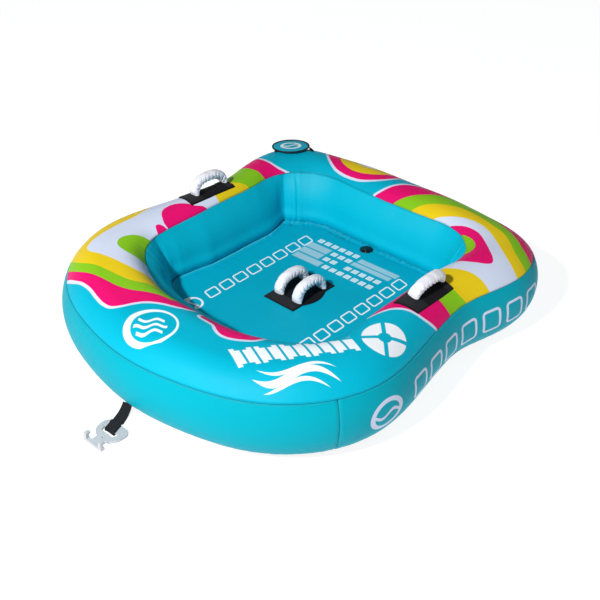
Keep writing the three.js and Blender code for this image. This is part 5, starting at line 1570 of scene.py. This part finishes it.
# ------------------------------------------------------------------ tow webbing and connector
def smooth_path(pts, n):
    p = np.array(pts, float) / 1000
    d = np.concatenate([[0], np.cumsum(np.linalg.norm(np.diff(p, axis=0), axis=1))])
    # natural cubic through the points, by its own length
    m = len(p)
    h = np.diff(d)
    A = np.zeros((m, m))
    A[0, 0] = A[-1, -1] = 1
    R = np.zeros((m, 3))
    for i in range(1, m - 1):
        A[i, i - 1], A[i, i], A[i, i + 1] = h[i - 1], 2 * (h[i - 1] + h[i]), h[i]
        R[i] = 6 * ((p[i + 1] - p[i]) / h[i] - (p[i] - p[i - 1]) / h[i - 1])
    M = np.linalg.solve(A, R)
    t = np.linspace(0, d[-1], n)
    i = np.clip(np.searchsorted(d, t, side="right") - 1, 0, m - 2)
    a, b_ = (d[i + 1] - t) / h[i], (t - d[i]) / h[i]
    out = a[:, None] * p[i] + b_[:, None] * p[i + 1] + ((a**3 - a)[:, None] * M[i] + (b_**3 - b_)[:, None] * M[i + 1]) * (h[i] ** 2)[:, None] / 6
    return out


def webbing(name, path, width, thick, n, body, slot="black_webbing", replaces=(), ride=True):
    C = smooth_path(path, n)
    T = np.gradient(C, axis=0)
    T /= np.linalg.norm(T, axis=1)[:, None]
    side = np.tile([1.0, 0, 0], (n, 1))
    side -= T * (side * T).sum(1)[:, None]
    side /= np.linalg.norm(side, axis=1)[:, None]
    up = np.cross(side, T)
    run = np.concatenate([[0], np.cumsum(np.linalg.norm(np.diff(C, axis=0), axis=1))])
    m = 26
    w = np.linspace(-1, 1, m)
    hw = width / 2
    V, wu, ww, we = [], [], [], []
    for sgn in (1, -1):
        for k in range(n):
            for q in range(m):
                t_ = abs(w[q])
                rib = 0.00018 * math.sin(q * 2.6 + run[k] / 0.0011)
                th = thick / 2 * (1 - 0.55 * max(0, (t_ - 0.9) / 0.1) ** 2) + rib * (1 if t_ < 0.95 else 0)
                p = C[k] + side[k] * hw * w[q] + up[k] * th * sgn
                V.append(p)
                wu.append(run[k])
                ww.append(hw * w[q])
                we.append(math.exp(-(1 - t_) * hw / 0.0022))
    F = grid_faces(n, m, False).tolist() + grid_faces(n, m, False, base=n * m, flip=True).tolist()
    M = n * m
    for k in range(n - 1):
        F.append([k * m, (k + 1) * m, M + (k + 1) * m, M + k * m])
        F.append([k * m + m - 1, M + k * m + m - 1, M + (k + 1) * m + m - 1, (k + 1) * m + m - 1])
    for q in range(m - 1):
        F.append([q, M + q, M + q + 1, q + 1])
        F.append([(n - 1) * m + q, (n - 1) * m + q + 1, M + (n - 1) * m + q + 1, M + (n - 1) * m + q])
    o = piece(name, V, F, m_web, {"web_u": wu, "web_w": ww, "web_edge": we}, body=body, slot=slot, replaces=replaces, ride=ride)
    fix_normals(o)
    return o


STRAP_PATH = [[-61, -962, 32], [-58, -969, 24], [-53, -982, 14], [-47, -997, 7.2], [-39, -1015, 4.2], [-30, -1034, 4.6]]
LOOP_PATH = [[-27, -1040, 5.6], [-22, -1050, 11.2], [-16, -1062, 13.4], [-6, -1090, 13.4], [-2, -1099.5, 12.2], [-1, -1104, 7.4], [-2, -1099.5, 2.8], [-6, -1090, 1.9], [-13, -1068, 1.9]]
strap = webbing("tow_webbing", STRAP_PATH + LOOP_PATH, 0.050, 0.0024, 220, None, replaces=("tow_strap", "tow_strap_end_loop"), ride=False)
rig.blend(strap, "tow_strap", "tow_hook", start=(-0.036, -1.024, 0.005), end=(-0.021, -1.052, 0.010))


def moulded(name, node, voxel, mat, body, slot, rounds=6):
    """A moulded look from the CAD solid: fine voxels, then softened edges."""
    src = frame["nodes"][node]
    me = src.data.copy()
    me.name = name
    for a in list(me.attributes):
        if a.name.startswith("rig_"):
            me.attributes.remove(a)
    o = bpy.data.objects.new(name, me)
    col.objects.link(o)
    bpy.context.view_layer.objects.active = o
    m1 = o.modifiers.new("remesh", "REMESH")
    m1.mode, m1.voxel_size, m1.use_smooth_shade = "VOXEL", voxel, True
    m2 = o.modifiers.new("soften", "SMOOTH")
    m2.factor, m2.iterations = 0.5, rounds
    dg = bpy.context.evaluated_depsgraph_get()
    made = bpy.data.meshes.new_from_object(o.evaluated_get(dg))
    o.modifiers.clear()
    o.data = made
    o.data.materials.clear()
    o.data.materials.append(mat)
    o.data.polygons.foreach_set("use_smooth", [True] * len(o.data.polygons))
    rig.slot(o, slot)
    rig.replaces(o, node)
    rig.ride(o, body)
    return o


moulded("tow_connector", "tow_hook", 0.0016 if QUICK else 0.0009, m_plastic, "tow_hook", "white_plastic", 5)
moulded("zip_runner", "zip_slider", 0.0005, m_metal, "zip_slider", "zip_metal", 2)
moulded("zip_puller", "zip_pull", 0.0005, m_valve, "zip_pull", "zip_plastic", 2)


# ------------------------------------------------------------------ strips that follow the back of the band
def band_strip(name, s0, s1, phi0, phi1, lift, thick, n, m, mat, slot, replaces, profile=None, wavy=None):
    phis = np.linspace(phi0, phi1, n) * D
    st = stations(phis)
    rows = [("s", t) for t in np.linspace(s0, s1, m)]
    P = surface(st, rows)
    nn = grid_normals(P, ring=False)
    w = np.linspace(-1, 1, m)
    run = np.concatenate([[0], np.cumsum(np.linalg.norm(np.diff(P[:, m // 2], axis=0), axis=1))])
    th = np.broadcast_to(thick * (1 - 0.5 * np.clip((np.abs(w) - 0.88) / 0.12, 0, 1) ** 2)[None], (n, m)).copy()
    if wavy:
        th = th * (1 + wavy(run[:, None], w[None]))
    up, dn = P + nn * (lift + th)[..., None], P + nn * lift
    V = np.vstack([up.reshape(-1, 3), dn.reshape(-1, 3)])
    F = grid_faces(n, m, False).tolist() + grid_faces(n, m, False, base=n * m, flip=True).tolist()
    M = n * m
    for k in range(n - 1):
        F.append([k * m, (k + 1) * m, M + (k + 1) * m, M + k * m])
        F.append([k * m + m - 1, M + k * m + m - 1, M + (k + 1) * m + m - 1, (k + 1) * m + m - 1])
    for q in range(m - 1):
        F.append([q, M + q, M + q + 1, q + 1])
        F.append([(n - 1) * m + q, (n - 1) * m + q + 1, M + (n - 1) * m + q + 1, M + (n - 1) * m + q])
    ac_ = across(P)
    at = {"web_u": np.tile(np.broadcast_to(run[:, None], (n, m)).ravel(), 2), "web_w": np.tile(ac_.ravel(), 2), "web_edge": np.tile(np.broadcast_to(np.exp(-(1 - np.abs(w)) * 0.008 / 0.002)[None], (n, m)).ravel(), 2)}
    o = piece(name, V, F, mat, at, slot=slot, replaces=replaces)
    fix_normals(o)
    return o


ZJ0, ZJ1 = -0.69, -0.43
zs = lambda f: ZJ0 + (ZJ1 - ZJ0) * f
band_strip("zip_band_lower", zs(0.06), zs(0.44), 162, 198, 0.0004, 0.0012, 160, 9, m_web, "black_webbing", ("zip_tape_lower",))
band_strip("zip_band_upper", zs(0.56), zs(0.94), 162, 198, 0.0004, 0.0012, 160, 9, m_web, "black_webbing", ("zip_tape_upper",))
band_strip("zip_chain", zs(0.47), zs(0.53), 162, 198, 0.0004, 0.0022, 900 if not QUICK else 300, 5, m_valve, "zip_plastic", ("zip_teeth",), wavy=lambda r_, w_: -0.45 * (0.5 + 0.5 * np.sign(np.sin(r_ / 0.0032 * 2 * np.pi + np.sign(w_) * np.pi / 2))))
band_strip("tow_anchor_webbing", -1.18, -1.0, -7.4, -0.4, 0.0014, 0.0020, 40, 12, m_web, "black_webbing", ("tow_anchor_patch",))

# ------------------------------------------------------------------ stage
me = bpy.data.meshes.new("ground")
R_ = 60
me.from_pydata([(R_ * math.cos(i / 64 * 2 * math.pi), R_ * math.sin(i / 64 * 2 * math.pi), -0.0008) for i in range(64)], [], [list(range(64))])


def build_ground(b):
    x, y, z, v = coords()
    n = noise(v, 1.5, 2.0)
    link(mix(n, lin(132, 134, 136), lin(138, 140, 142)), b, "Base Color")
    b.inputs["Emission Color"].default_value = (1, 1, 1, 1)
    b.inputs["Emission Strength"].default_value = 0.9


ground = bpy.data.objects.new("ground", me)
me.materials.append(material("studio_floor", build_ground, 0.9, specular=0.1))
col.objects.link(ground)
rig.stage(ground)

lo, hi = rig.bounds()
json.dump({"cad": CAD_BOX, "visual": [list(lo), list(hi)]}, open("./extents.json", "w"))
